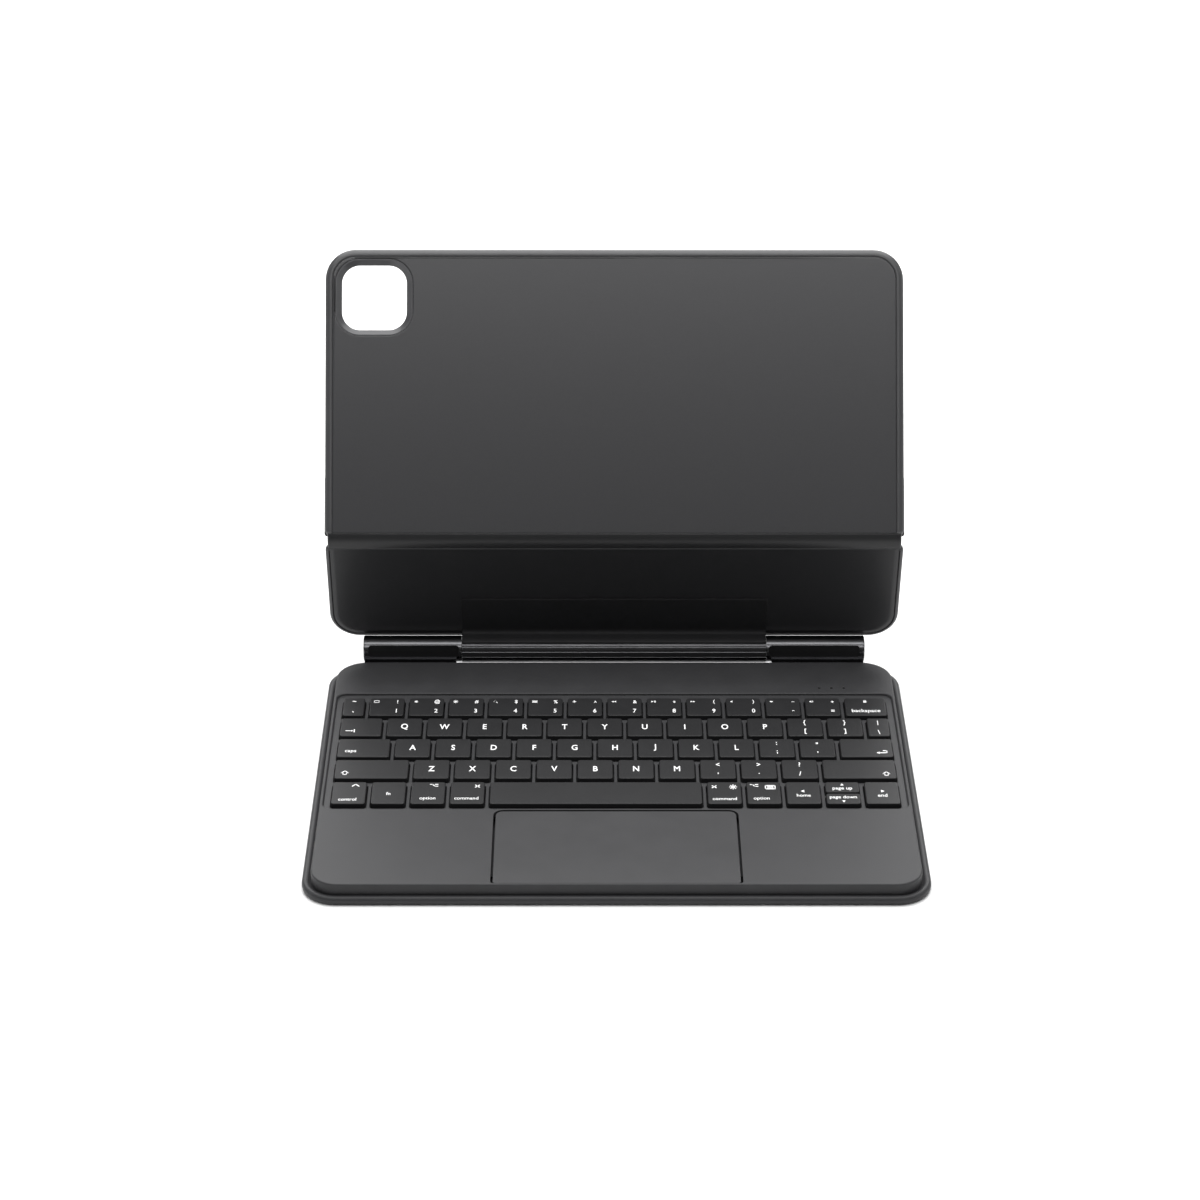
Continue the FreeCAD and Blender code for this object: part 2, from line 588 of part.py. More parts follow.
def electronics():
    """Main board with chips, battery cells, status lights and closing magnets."""
    floor = size("skin_floor") + size("plate_thick")
    circuit_top = floor + size("circuit_thick")
    board = box("Board", "Sizes.board_length", "Sizes.board_depth", "Sizes.circuit_thick",
                (-60.0, 63.8, floor))
    chips = [box("Chip", str(wide), "Sizes.chip_depth", "Sizes.chip_height", (x, 66.5, circuit_top))
             for x, wide in ((-40.0, 9), (-12.0, 12), (30.0, 6))]
    fused("main_board", [board, *chips])
    group("battery_pack", [box("Cell", "Sizes.cell_width", "Sizes.cell_depth", "Sizes.cell_height",
                               (x, -75.0, floor)) for x in (-58.0 - size("cell_width"), 58.0)])
    pipe = f"Sizes.deck_top - {circuit_top}"
    group("status_lights", [cylinder("LightPipe", "Sizes.light_radius - Sizes.fit", pipe, (x, y, circuit_top))
                            for x, y in LIGHTS])
    magnet_low = size("deck_ceiling") - size("hold_height")
    group("base_magnets", [box("BaseMagnet", "Sizes.hold_width", "Sizes.hold_depth", "Sizes.hold_height",
                               (x - size("hold_width") / 2, -84.0, magnet_low))
                           for x in (-100.0, -76.0, 76.0, 100.0)])


# ---------------------------------------------------------------- hinge

def hinge_knuckle(label, side):
    """Fixed barrel at one end of the hinge, with a foot that reaches to the deck."""
    body = new_body(label)
    axis = ("Sizes.barrel_back", "Sizes.barrel_height")
    low_x = "Sizes.barrel_inner" if side > 0 else "-Sizes.barrel_end"
    ring = circles(body, "BarrelCircle", [(0, 0)], "Sizes.barrel_radius", (*axis, low_x), "YZ_Plane")
    barrel = pad(body, "Barrel", ring, "Sizes.barrel_end - Sizes.barrel_inner")
    dress(body, "Fillet", "BarrelRound", barrel,
          lambda edge: abs(edge.BoundBox.XMin) > size("barrel_end") - 1 and edge.BoundBox.XLength < 0.01,
          "Sizes.barrel_round")
    ends = sorted((side * size("foot_inner"), side * size("foot_outer")))
    foot = outline(body, "FootOutline", rectangle_points(*ends, deck_rear() + 0.1, size("barrel_back") - 1),
                   ("0", "0", "Sizes.foot_low"))
    pad(body, "Foot", foot, "Sizes.foot_high - Sizes.foot_low")
    inside = "Sizes.barrel_end - Sizes.end_wall" if side > 0 else "-Sizes.barrel_inner - Sizes.end_wall"
    bore = circles(body, "BoreCircle", [(0, 0)], "Sizes.barrel_bore", (*axis, inside), "YZ_Plane")
    pocket(body, "Bore", bore, "Sizes.barrel_end - Sizes.barrel_inner - 2 * Sizes.end_wall")
    slot_low, slot_high = arm_slot(side)
    arm = outline(body, "ArmSlotOutline", arm_profile(size("arm_gap")), ("0", "0", str(slot_high)),
                  "YZ_Plane")
    pocket(body, "ArmSlot", arm, str(slot_high - slot_low))
    start = "Sizes.barrel_inner + Sizes.end_wall" if side > 0 else "-Sizes.barrel_inner"
    hole = circles(body, "ShaftCircle", [(0, 0)], "Sizes.shaft_radius + 2 * Sizes.fit", (*axis, start),
                   "YZ_Plane")
    pocket(body, "ShaftHole", hole, "Sizes.end_wall")
    end = rounded(body, "EndOpening", *end_opening(side), at=(*axis, end_plane(side)), role="YZ_Plane")
    pocket(body, "EndSlot", end, "Sizes.end_wall + 0.2")
    gap = "2 * Sizes.insert_gap"
    recess = rounded(body, "RecessOutline", f"Sizes.insert_length + {gap}", f"Sizes.insert_height + {gap}",
                     "Sizes.recess_corner", recess_placement(side, size("barrel_radius") + 0.3))
    pocket(body, "Recess", recess, "Sizes.barrel_radius + 0.3 - Sizes.recess_floor")


def arm_profile(extra):
    """Side view of a hinge arm: level under the deck, then up to the hinge axis."""
    half = size("arm_thick") / 2 + extra
    level_z = size("deck_ceiling") - size("arm_thick") / 2
    bend, back, height = size("arm_bend"), size("barrel_back"), size("barrel_height")
    rise = math.atan2(height - level_z, back - bend)
    mitre = half * math.tan(rise / 2)
    across = (-half * math.sin(rise), half * math.cos(rise))
    return [(size("arm_front"), level_z - half), (bend + mitre, level_z - half),
            (back - across[0], height - across[1]), (back + across[0], height + across[1]),
            (bend - mitre, level_z + half), (size("arm_front"), level_z + half)]


def end_opening(side):
    """Width, height and corner of the slot in the barrel's end: charge socket or switch."""
    if side > 0:
        return "5", "2", "0.6"
    return "Sizes.socket_width + 0.16", "Sizes.socket_height + 0.14", "1.6"


def end_plane(side):
    return "Sizes.barrel_end + 0.1" if side > 0 else "-Sizes.barrel_end + Sizes.end_wall + 0.1"


def recess_placement(side, height):
    """Plane that faces the front of the barrel, a little above level."""
    up = math.radians(size("recess_angle"))
    normal = Vector(0, -math.cos(up), math.sin(up))
    middle = Vector(side * size("recess_middle"), size("barrel_back"), size("barrel_height"))
    return Placement(middle + normal * height, Rotation(Vector(1, 0, 0), 90 - size("recess_angle")))


def hinge_inserts():
    """Matt black plates let into the front of both barrels."""
    long, tall, thick = size("insert_length"), size("insert_height"), size("insert_thick")
    solids = []
    for side in (-1, 1):
        plate = Part.makeBox(long, tall, thick, Vector(-long / 2, -tall / 2, 0))
        corners = [edge for edge in plate.Edges if edge.BoundBox.ZLength > thick / 2]
        plate = plate.makeFillet(size("recess_corner") - size("insert_gap"), corners)
        plate.Placement = recess_placement(side, size("recess_floor"))
        solids.append(plate)
    shaped("hinge_inserts", solids)


def hinge_arms():
    """Steel arms bolted under the deck; a tube at the end holds the shaft."""
    wide = size("arm_outer") - size("arm_inner")
    along = Vector(1, 0, 0)
    outline_points = [Vector(0, y, z) for y, z in arm_profile(0)]
    profile = Part.Face(Part.makePolygon(outline_points + outline_points[:1]))
    solids = []
    for side in (-1, 1):
        low = min(side * size("arm_inner"), side * size("arm_outer"))
        centre = Vector(low, size("barrel_back"), size("barrel_height"))
        arm = profile.extrude(along * wide).translated(Vector(low, 0, 0))
        tube = Part.makeCylinder(size("arm_radius"), wide, centre, along)
        bore = Part.makeCylinder(size("shaft_radius") + size("fit"), wide, centre, along)
        solids.append(arm.fuse(tube).cut(bore).removeSplitter())
    shaped("hinge_arms", solids)


def hinge_clutches():
    """Friction washers pressed on the shafts beside the arms."""
    along = Vector(1, 0, 0)
    wide = size("clutch_high") - size("clutch_low")
    solids = []
    for side in (-1, 1):
        low = min(side * size("clutch_low"), side * size("clutch_high"))
        centre = Vector(low, size("barrel_back"), size("barrel_height"))
        ring = Part.makeCylinder(size("clutch_radius"), wide, centre, along)
        solids.append(ring.cut(Part.makeCylinder(size("shaft_radius") + size("fit"), wide, centre, along)))
    shaped("hinge_clutches", solids)


def hinge_shafts():
    """Two steel shafts fixed in the spine that turn in the arms."""
    along = Vector(1, 0, 0)
    low_ends = (-size("arm_outer") - 0.6, size("shaft_inner"))
    length = "Sizes.arm_outer + 0.6 - Sizes.shaft_inner"
    back, height = size("barrel_back"), size("barrel_height")
    group("hinge_shafts", [cylinder("Shaft", "Sizes.shaft_radius", length, (x, back, height), along)
                           for x in low_ends])


def usb_c_socket():
    """Charge socket in the end of the left barrel: shell, back wall and tongue."""
    body = new_body("usb_c_socket")
    axis = ("Sizes.barrel_back", "Sizes.barrel_height")
    mouth = "-Sizes.barrel_end + Sizes.socket_inset"
    shell = rounded(body, "ShellOutline", "Sizes.socket_width", "Sizes.socket_height", "1.5",
                    (*axis, mouth), role="YZ_Plane")
    pad(body, "Shell", shell, "Sizes.socket_length")
    inner = rounded(body, "MouthOutline", "Sizes.socket_width - 2 * Sizes.socket_wall",
                    "Sizes.socket_height - 2 * Sizes.socket_wall", "1.2", (*axis, mouth), role="YZ_Plane")
    pocket(body, "Mouth", inner, "Sizes.socket_length - Sizes.socket_back", reverse=True)
    root = f"{mouth} + Sizes.socket_length - Sizes.socket_back - Sizes.tongue_length"
    tongue = rounded(body, "TongueOutline", "Sizes.tongue_width", "Sizes.tongue_thick", "0.2",
                     (*axis, root), role="YZ_Plane")
    pad(body, "Tongue", tongue, "Sizes.tongue_length + 0.3")


def power_switch():
    """Small slide switch in the end of the right barrel."""
    end, back, height = size("barrel_end"), size("barrel_back") - 1.0, size("barrel_height")
    wide, deep, tall = 2.4, 2.0, 1.4
    knob = box("Knob", str(deep), str(wide), str(tall),
               (end - deep - 0.2, back - wide / 2, height - tall / 2))
    flange = box("Flange", "0.7", "4", "3", (end - deep - 0.3, back - 2.0, height - 1.5))
    fused("power_switch", [knob, flange])


# ---------------------------------------------------------------- panels

def panel_tray(label, low, high, low_corner, high_corner):
    """Leather shell of a panel: a thin floor with a rounded rim, open to the tablet side."""
    body = new_body(label)
    middle, length = f"({low} + {high}) / 2", f"{high} - ({low})"
    sketch = rounded(body, "ShellOutline", "Sizes.panel_width", length, low_corner,
                     ("0", middle, "-Sizes.panel_thick / 2"), high_corner)
    block = pad(body, "Shell", sketch, "Sizes.panel_thick")
    half = size("panel_thick") / 2
    dress(body, "Fillet", "RimRound", block,
          lambda edge: level(edge, half) or level(edge, -half), "Sizes.panel_round")
    seat = rounded(body, "SeatOutline", "Sizes.panel_width - 2 * Sizes.panel_rim",
                   f"{length} - 2 * Sizes.panel_rim", f"max({low_corner} - Sizes.panel_rim; 0.5)",
                   ("0", middle, "Sizes.panel_thick / 2"),
                   f"max({high_corner} - Sizes.panel_rim; 0.5)")
    pocket(body, "Seat", seat, "Sizes.panel_thick - Sizes.panel_skin")
    return body


def panel_sheet(label, low, high, low_corner, high_corner, level_low, thick):
    """Flat sheet that lies inside the rim of a panel."""
    body = new_body(label)
    inset = "(Sizes.panel_rim + Sizes.groove)"
    sketch = rounded(body, "SheetOutline", f"Sizes.panel_width - 2 * {inset}",
                     f"{high} - ({low}) - 2 * {inset}", f"max({low_corner} - {inset}; 0.5)",
                     ("0", f"({low} + {high}) / 2", level_low),
                     f"max({high_corner} - {inset}; 0.5)")
    pad(body, "Sheet", sketch, thick)
    return body


UPPER = ("Sizes.fold_gap", "Sizes.upper_length", "2", "Sizes.panel_corner")
LOWER = ("-Sizes.lower_length", "-Sizes.fold_gap", "Sizes.panel_corner", "2")
WINDOW = ("-Sizes.panel_width / 2 + Sizes.window_side + Sizes.window / 2",
          "Sizes.upper_length - Sizes.window_top - Sizes.window / 2")
MAGNETS = [(-78.0, 30.0), (78.0, 30.0), (-78.0, 62.0), (78.0, 62.0), (-40.0, 104.0), (40.0, 104.0)]


def cut_window(body, extra):
    """Cut the camera window through a piece of the upper panel."""
    span = f"Sizes.window + 2 * Sizes.window_bevel + {extra}"
    sketch = rounded(body, "WindowOutline", span, span, "Sizes.window_corner + Sizes.window_bevel",
                     (*WINDOW, "Sizes.panel_thick"))
    pocket(body, "Window", sketch, "2 * Sizes.panel_thick")


def upper_panel():
    """Panel that carries the tablet: skin, board, lining and magnets."""
    skin = panel_tray("upper_outer_skin", *UPPER)
    cut_window(skin, "0")
    board = panel_sheet("upper_panel_board", *UPPER, "-Sizes.board_thick / 2", "Sizes.board_thick")
    cut_window(board, "0.2")
    pockets = new_sketch(board, "MagnetSeats", ("0", "0", "Sizes.board_thick / 2"))
    long, wide, thick = size("magnet_length") / 2, size("magnet_width") / 2, size("magnet_thick")
    for x, y in MAGNETS:
        add_loop(pockets, rectangle_points(x - long - 0.1, x + long + 0.1, y - wide - 0.1, y + wide + 0.1))
    pocket(board, "Magnets", pockets, "Sizes.magnet_thick")
    lining = panel_sheet("upper_inner_skin", *UPPER, "Sizes.board_thick / 2", "Sizes.lining_thick")
    cut_window(lining, "0.2")
    for body in (skin, board, lining):
        place_upper(body)
    low = size("board_thick") / 2 - thick
    magnets = group("panel_magnets", [box("TabletMagnet", "Sizes.magnet_length", "Sizes.magnet_width",
                                          "Sizes.magnet_thick", (x - long, y - wide, low))
                                      for x, y in MAGNETS])
    place_upper(magnets)


def camera_bezel():
    """Ring round the camera window, bevelled towards the tablet side."""
    body = new_body("camera_bezel")
    low = "-Sizes.panel_thick / 2"
    span = "Sizes.window + 2 * Sizes.window_bevel"
    outer = rounded(body, "BezelOutline", span, span, "Sizes.window_corner + Sizes.window_bevel",
                    (*WINDOW, low))
    pad(body, "Ring", outer, "Sizes.panel_thick")
    inner = rounded(body, "OpeningOutline", "Sizes.window", "Sizes.window", "Sizes.window_corner",
                    (*WINDOW, "Sizes.panel_thick / 2"))
    ring = pocket(body, "Opening", inner, "Sizes.panel_thick")
    top, reach = size("panel_thick") / 2, size("window") / 2 + 0.1
    centre_x = -size("panel_width") / 2 + size("window_side") + size("window") / 2
    centre_y = size("upper_length") - size("window_top") - size("window") / 2

    def inside(edge, height):
        span = edge.BoundBox
        near_x = max(abs(span.XMin - centre_x), abs(span.XMax - centre_x)) < reach
        near_y = max(abs(span.YMin - centre_y), abs(span.YMax - centre_y)) < reach
        return level(edge, height) and near_x and near_y

    slope = dress(body, "Chamfer", "Bevel", ring, lambda edge: inside(edge, top), "Sizes.bevel")
    dress(body, "Fillet", "BackRound", slope, lambda edge: inside(edge, -top), "Sizes.bevel_back")
    place_upper(body)


def fold_band():
    """Leather band across the outside of the upper panel, next to the fold."""
    body = new_body("fold_band")
    width = "Sizes.panel_width + 2 * Sizes.band_extra"
    sketch = rounded(body, "BandOutline", width, "Sizes.band_length", "1",
                     ("0", "Sizes.fold_gap + Sizes.band_length / 2",
                      "-Sizes.panel_thick / 2 - Sizes.band_thick"))
    pad(body, "Band", sketch, "Sizes.band_thick")
    place_upper(body)


def fold_strip():
    """Soft strip that joins the two panels at the fold."""
    half = size("panel_width") / 2 - 1.0
    strip = cylinder("fold_strip", "Sizes.fold_radius", "Sizes.panel_width - 2",
                     (-half, size("fold_back"), size("fold_height")), Vector(1, 0, 0))
    strip.Label = "fold_strip"
    NODES.append(strip)


def lower_panel():
    """Short panel between the fold and the hinge: skin, board and lining."""
    skin = panel_tray("lower_outer_skin", *LOWER)
    board = panel_sheet("lower_panel_board", *LOWER, "-Sizes.board_thick / 2", "Sizes.board_thick")
    lining = panel_sheet("lower_inner_skin", *LOWER, "Sizes.board_thick / 2", "Sizes.lining_thick")
    for body in (skin, board, lining):
        place_lower(body)


def barrel_in_panel():
    """Hinge axis seen from the lower panel: along it, and out from its middle."""
    lean = math.radians(size("lower_lean"))
    back = size("barrel_back") - size("fold_back")
    down = size("barrel_height") - size("fold_height")
    return (-back * math.sin(lean) + down * math.cos(lean),
            -back * math.cos(lean) - down * math.sin(lean))


# Grooves along the spine, in degrees from the lower panel's plane towards the front.
GROOVE_ANGLES = (41.5, 61.3, 85.0)


def spine_tube():
    """Metal spine between the knuckles, with grooves and a web up to the panel."""
    body = new_body("spine_tube")
    along, out = barrel_in_panel()
    place = (str(along), str(out), "-Sizes.spine_half")
    ring = circles(body, "SpineCircle", [(0, 0)], "Sizes.spine_radius", place, "YZ_Plane")
    pad(body, "Spine", ring, "2 * Sizes.spine_half")
    edge, face, radius = -size("lower_length"), size("panel_thick") / 2, size("spine_radius")
    reach = math.hypot(edge - along, face + out)
    swing = math.atan2(-face - out, edge - along) - math.acos(radius / reach)
    touch = (along + radius * math.cos(swing), out + radius * math.sin(swing))
    side = [(edge, -face), (edge, face), (edge + 0.2, out - 4.0), (along, out - 3.0), touch]
    web = outline(body, "WebOutline", side, ("0", "0", "-Sizes.spine_half"), "YZ_Plane")
    pad(body, "Web", web, "2 * Sizes.spine_half")
    seat = outline(body, "PanelSeatOutline", rectangle_points(edge, edge + 3, -face, face + 0.05),
                   ("0", "0", "Sizes.spine_half"), "YZ_Plane")
    pocket(body, "PanelSeat", seat, "2 * Sizes.spine_half")
    grooves = [(radius * math.cos(math.radians(a)), radius * math.sin(math.radians(a)))
               for a in GROOVE_ANGLES]
    lines = circles(body, "GrooveCircles", grooves, "Sizes.spine_groove", place, "YZ_Plane")
    pocket(body, "Grooves", lines, "2 * Sizes.spine_half", reverse=True)
    bore = circles(body, "BoreCircle", [(0, 0)], "Sizes.shaft_radius + Sizes.fit", place, "YZ_Plane")
    pocket(body, "Bore", bore, "2 * Sizes.spine_half", reverse=True)
    place_lower(body)


def spine_cover():
    """Leather flap from the lower panel's face down over the top of the spine."""
    body = new_body("spine_cover")
    along, out = barrel_in_panel()
    face, thick = size("panel_thick") / 2, size("flap_thick")
    radius = size("spine_radius") + size("fit")
    sketch = new_sketch(body, "FlapProfile", ("0", "0", "-Sizes.spine_half"), "YZ_Plane")
    top, end, bend = size("flap_top"), math.radians(size("flap_end")), size("flap_bend")
    shelf = along + radius
    corner = shelf + thick + bend

    def turn(distance, angle):
        return Vector(along + distance * math.cos(angle), out + distance * math.sin(angle))

    outer = radius + thick
    middle = math.radians(225)
    arc_centre = Vector(corner, face + thick + bend)
    near = [Vector(corner, face + thick), arc_centre + Vector(math.cos(middle), math.sin(middle)) * bend,
            Vector(shelf + thick, face + thick + bend)]
    far = [Vector(corner, face), arc_centre + Vector(math.cos(middle), math.sin(middle)) * (bend + thick),
           Vector(shelf, face + thick + bend)]
    parts = [
        Part.LineSegment(Vector(top, face), far[0]),
        Part.Arc(*far),
        Part.LineSegment(far[2], turn(radius, 0)),
        Part.Arc(turn(radius, 0), turn(radius, end / 2), turn(radius, end)),
        Part.LineSegment(turn(radius, end), turn(outer, end)),
        Part.Arc(turn(outer, end), turn(outer, end / 2), turn(outer, 0)),
        Part.LineSegment(turn(outer, 0), near[2]),
        Part.Arc(near[2], near[1], near[0]),
        Part.LineSegment(near[0], Vector(top, face + thick)),
        Part.LineSegment(Vector(top, face + thick), Vector(top, face)),
    ]
    for part in parts:
        sketch.addGeometry(part)
    pad(body, "Flap", sketch, "2 * Sizes.spine_half")
    place_lower(body)


# ---------------------------------------------------------------- whole case

def check():
    """Stop if any object failed or any sub-part has no valid shape."""
    doc.recompute()
    for item in doc.Objects:
        if "Invalid" in item.State or "Error" in item.State:
            raise RuntimeError(f"{item.Label}: {item.State}")
    for node in NODES:
        if node.Shape.isNull() or not node.Shape.isValid() or not node.Shape.Solids:
            raise RuntimeError(f"{node.Label}: no valid solid")


def write():
    os.makedirs("parts", exist_ok=True)
    for node in NODES:
        node.Shape.exportStep(f"parts/{node.Label}.step")
        print(node.Label, len(node.Shape.Solids), round(node.Shape.Volume, 1))


base_cover_skin()
bottom_plate()
keyboard_deck()
base_screws()
key_stack()
rubber_domes()
scissor_links()
key_caps()
trackpad()
electronics()
hinge_knuckle("left_hinge_knuckle", -1)
hinge_knuckle("right_hinge_knuckle", 1)
hinge_inserts()
hinge_arms()
hinge_clutches()
hinge_shafts()
usb_c_socket()
power_switch()
upper_panel()
camera_bezel()
fold_band()
fold_strip()
lower_panel()
spine_tube()
spine_cover()
check()
write()
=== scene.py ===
"""Looks of the tablet keyboard case: leather skins, lining, legends, materials and studio."""
import json
import math

import bmesh
import bpy
from mathutils import Matrix, Vector


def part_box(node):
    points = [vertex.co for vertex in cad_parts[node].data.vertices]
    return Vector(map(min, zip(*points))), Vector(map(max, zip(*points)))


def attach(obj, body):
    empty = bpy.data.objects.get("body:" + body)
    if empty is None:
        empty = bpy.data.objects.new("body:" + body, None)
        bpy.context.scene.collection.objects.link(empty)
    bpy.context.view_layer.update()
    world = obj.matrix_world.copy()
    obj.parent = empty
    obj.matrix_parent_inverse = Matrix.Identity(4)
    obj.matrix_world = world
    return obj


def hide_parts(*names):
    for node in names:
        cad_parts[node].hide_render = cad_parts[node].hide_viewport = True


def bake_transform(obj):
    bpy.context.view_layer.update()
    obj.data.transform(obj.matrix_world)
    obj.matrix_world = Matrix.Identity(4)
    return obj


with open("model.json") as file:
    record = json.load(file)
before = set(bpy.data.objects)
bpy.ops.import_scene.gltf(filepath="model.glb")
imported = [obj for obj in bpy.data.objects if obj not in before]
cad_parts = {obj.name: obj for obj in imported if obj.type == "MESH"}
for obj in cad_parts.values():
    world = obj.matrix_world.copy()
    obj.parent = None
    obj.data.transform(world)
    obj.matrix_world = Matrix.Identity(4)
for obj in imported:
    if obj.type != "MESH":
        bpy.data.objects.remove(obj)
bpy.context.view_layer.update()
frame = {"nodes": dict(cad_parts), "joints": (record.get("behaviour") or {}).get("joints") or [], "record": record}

MM = 0.001
JOINTS = {joint["name"]: joint for joint in frame["joints"]}
SPINE = Vector(JOINTS["rear_hinge"]["pos_m"])
FOLD = Vector(JOINTS["fold_hinge"]["pos_m"])
LOWER_LEAN = 90 - JOINTS["rear_hinge"]["range_deg"][1]
UPPER_LEAN = JOINTS["fold_hinge"]["range_deg"][1] - LOWER_LEAN
UPPER_LENGTH = 126.2 * MM
LOWER_LENGTH = 55.0 * MM
FOLD_GAP = 2.0 * MM
PANEL_HALF = 125.0 * MM
PANEL_HALF_THICK = 1.6 * MM
PANEL_CORNER = 13.0 * MM
SPINE_RADIUS = 6.1 * MM
FLAP_END = 27
FLAP_TOP = -32.1 * MM
WINDOW_HALF = 14.0 * MM
WINDOW_BEVEL = 2.65 * MM
WINDOW_CORNER = 7.9 * MM
WINDOW_LOOSE = 0.03 * MM
WINDOW_CENTRE = (-PANEL_HALF + 7.1 * MM + WINDOW_HALF, UPPER_LENGTH - 6.85 * MM - WINDOW_HALF)


# ---------------------------------------------------------------- materials

def shader(name, colour, roughness, metallic=0.0, specular=0.25):
    """A new material with a Principled shader whose plain values sit on its own sockets."""
    made = bpy.data.materials.new(name)
    made.use_nodes = True
    surface = made.node_tree.nodes["Principled BSDF"]
    surface.inputs["Base Color"].default_value = (*colour, 1.0)
    surface.inputs["Roughness"].default_value = roughness
    surface.inputs["Metallic"].default_value = metallic
    surface.inputs["Specular IOR Level"].default_value = specular
    return made


def node(made, kind, **values):
    """Add a node to a material and set the named input values."""
    new = made.node_tree.nodes.new(kind)
    for key, value in values.items():
        new.inputs[key].default_value = value
    return new


def link(made, source, output, target, socket):
    made.node_tree.links.new(source.outputs[output], target.inputs[socket])


def noise(made, scale, detail=3.0, stretch=(1.0, 1.0, 1.0)):
    """Noise in the object's own space, so that it stays on the piece as it moves."""
    place = node(made, "ShaderNodeTexCoord")
    mapping = node(made, "ShaderNodeMapping", Scale=stretch)
    texture = node(made, "ShaderNodeTexNoise", Scale=scale, Detail=detail)
    link(made, place, "Object", mapping, "Vector")
    link(made, mapping, "Vector", texture, "Vector")
    return texture, "Fac"


def cells(made, scale):
    """Pebbled cells, the pattern of pressed leather."""
    place = node(made, "ShaderNodeTexCoord")
    texture = node(made, "ShaderNodeTexVoronoi", Scale=scale)
    link(made, place, "Object", texture, "Vector")
    return texture, "Distance"


def add_bump(made, source, strength, distance):
    """Bump from a texture, on top of any bump that is there already."""
    surface = made.node_tree.nodes["Principled BSDF"]
    bump = node(made, "ShaderNodeBump", Strength=strength, Distance=distance)
    link(made, *source, bump, "Height")
    normal = surface.inputs["Normal"]
    if normal.is_linked:
        made.node_tree.links.new(normal.links[0].from_socket, bump.inputs["Normal"])
    link(made, bump, "Normal", surface, "Normal")


def vary_colour(made, source, low, high):
    """Mix two close colours by a texture."""
    ramp = node(made, "ShaderNodeValToRGB")
    ramp.color_ramp.elements[0].position = 0.3
    ramp.color_ramp.elements[1].position = 0.7
    ramp.color_ramp.elements[0].color = (*low, 1.0)
    ramp.color_ramp.elements[1].color = (*high, 1.0)
    link(made, *source, ramp, "Fac")
    link(made, ramp, "Color", made.node_tree.nodes["Principled BSDF"], "Base Color")


def vary_roughness(made, source, low, high):
    scale = node(made, "ShaderNodeMapRange")
    scale.inputs["To Min"].default_value = low
    scale.inputs["To Max"].default_value = high
    link(made, *source, scale, "Value")
    link(made, scale, "Result", made.node_tree.nodes["Principled BSDF"], "Roughness")


def shade(colour, factor):
    return tuple(channel * factor for channel in colour)


def mottled(name, colour, roughness, spread=0.05, scale=90.0, gloss=0.045, **more):
    """A base for every finish: slight, slow variation of colour and gloss."""
    made = shader(name, colour, roughness, **more)
    slow = noise(made, scale)
    vary_colour(made, slow, shade(colour, 1 - spread), shade(colour, 1 + spread))
    vary_roughness(made, slow, roughness - gloss, roughness + gloss)
    return made


def leather(name, colour, roughness, specular=0.25):
    """Pressed polyurethane leather with a fine pebble grain."""
    made = mottled(name, colour, roughness, specular=specular)
    add_bump(made, cells(made, 1500.0), 0.25, 0.06 * MM)
    add_bump(made, noise(made, 500.0, 4.0), 0.2, 0.08 * MM)
    return made


def lining_leather(name, colour, roughness, specular=0.5):
    """Smooth lining with faint streaks along the panel's width."""
    made = mottled(name, colour, roughness, spread=0.015, scale=900.0, gloss=0.004, specular=specular)
    add_bump(made, noise(made, 1.0, 3.0, (60.0, 1400.0, 1400.0)), 0.22, 0.05 * MM)
    add_bump(made, noise(made, 1800.0, 2.0), 0.12, 0.03 * MM)
    return made


def moulded(name, colour, roughness, grain=0.15, **more):
    """Moulded plastic with a fine spark-eroded grain."""
    made = mottled(name, colour, roughness, spread=0.06, **more)
    add_bump(made, noise(made, 2600.0, 2.0), grain, 0.03 * MM)
    return made


def brushed(name, colour, roughness, strength=0.15):
    """Metal brushed along the hinge."""
    made = mottled(name, colour, roughness, spread=0.05, metallic=1.0)
    add_bump(made, noise(made, 1.0, 2.0, (40.0, 2500.0, 2500.0)), strength, 0.02 * MM)
    return made


MATERIALS = {
    "skin": leather("skin_leather", (0.034, 0.034, 0.036), 0.48),
    "lining": lining_leather("lining_leather", (0.035, 0.035, 0.037), 0.27),
    "bezel": moulded("bezel_plastic", (0.05, 0.05, 0.053), 0.38, specular=0.5),
    "deck": moulded("deck_plastic", (0.039, 0.039, 0.041), 0.5, 0.2),
    "keycap": moulded("key_plastic", (0.016, 0.016, 0.017), 0.46, 0.12),
    "trackpad_glass": moulded("trackpad_surface", (0.041, 0.041, 0.043), 0.4, 0.05),
    "steel": brushed("blackened_steel", (0.03, 0.03, 0.032), 0.45),
    "magnet": brushed("nickel_plate", (0.62, 0.61, 0.6), 0.22, 0.05),
    "hinge_metal": brushed("anodised_metal", (0.125, 0.125, 0.13), 0.25),
    "insert": moulded("insert_plastic", (0.006, 0.006, 0.0065), 0.45, 0.1),
    "circuit": moulded("circuit_board", (0.01, 0.12, 0.06), 0.4, 0.05),
    "battery": moulded("battery_foil", (0.1, 0.1, 0.11), 0.4, 0.2),
    "dome": moulded("dome_rubber", (0.05, 0.05, 0.05), 0.6, 0.1),
    "link": moulded("link_plastic", (0.03, 0.03, 0.03), 0.45, 0.05),
    "film": moulded("film_plastic", (0.03, 0.03, 0.03), 0.4, 0.02),
    "panel_core": moulded("core_board", (0.05, 0.05, 0.05), 0.6, 0.2),
    "light_pipe": moulded("light_pipe", (0.01, 0.01, 0.01), 0.2, 0.02),
    "socket": brushed("socket_plate", (0.3, 0.3, 0.32), 0.3, 0.05),
    "switch": moulded("switch_plastic", (0.03, 0.03, 0.03), 0.3, 0.05),
}
LEGEND_INK = moulded("legend_ink", (0.95, 0.95, 0.95), 0.5, 0.02)
# Upper panel's outer skin: lighter than the skin leather of the lower panel and base, a painted highlight that
# brightens its rim.
UPPER_SKIN_PAINTED_HIGHLIGHT = leather("rim_leather", (0.05, 0.05, 0.052), 0.33, 0.6)
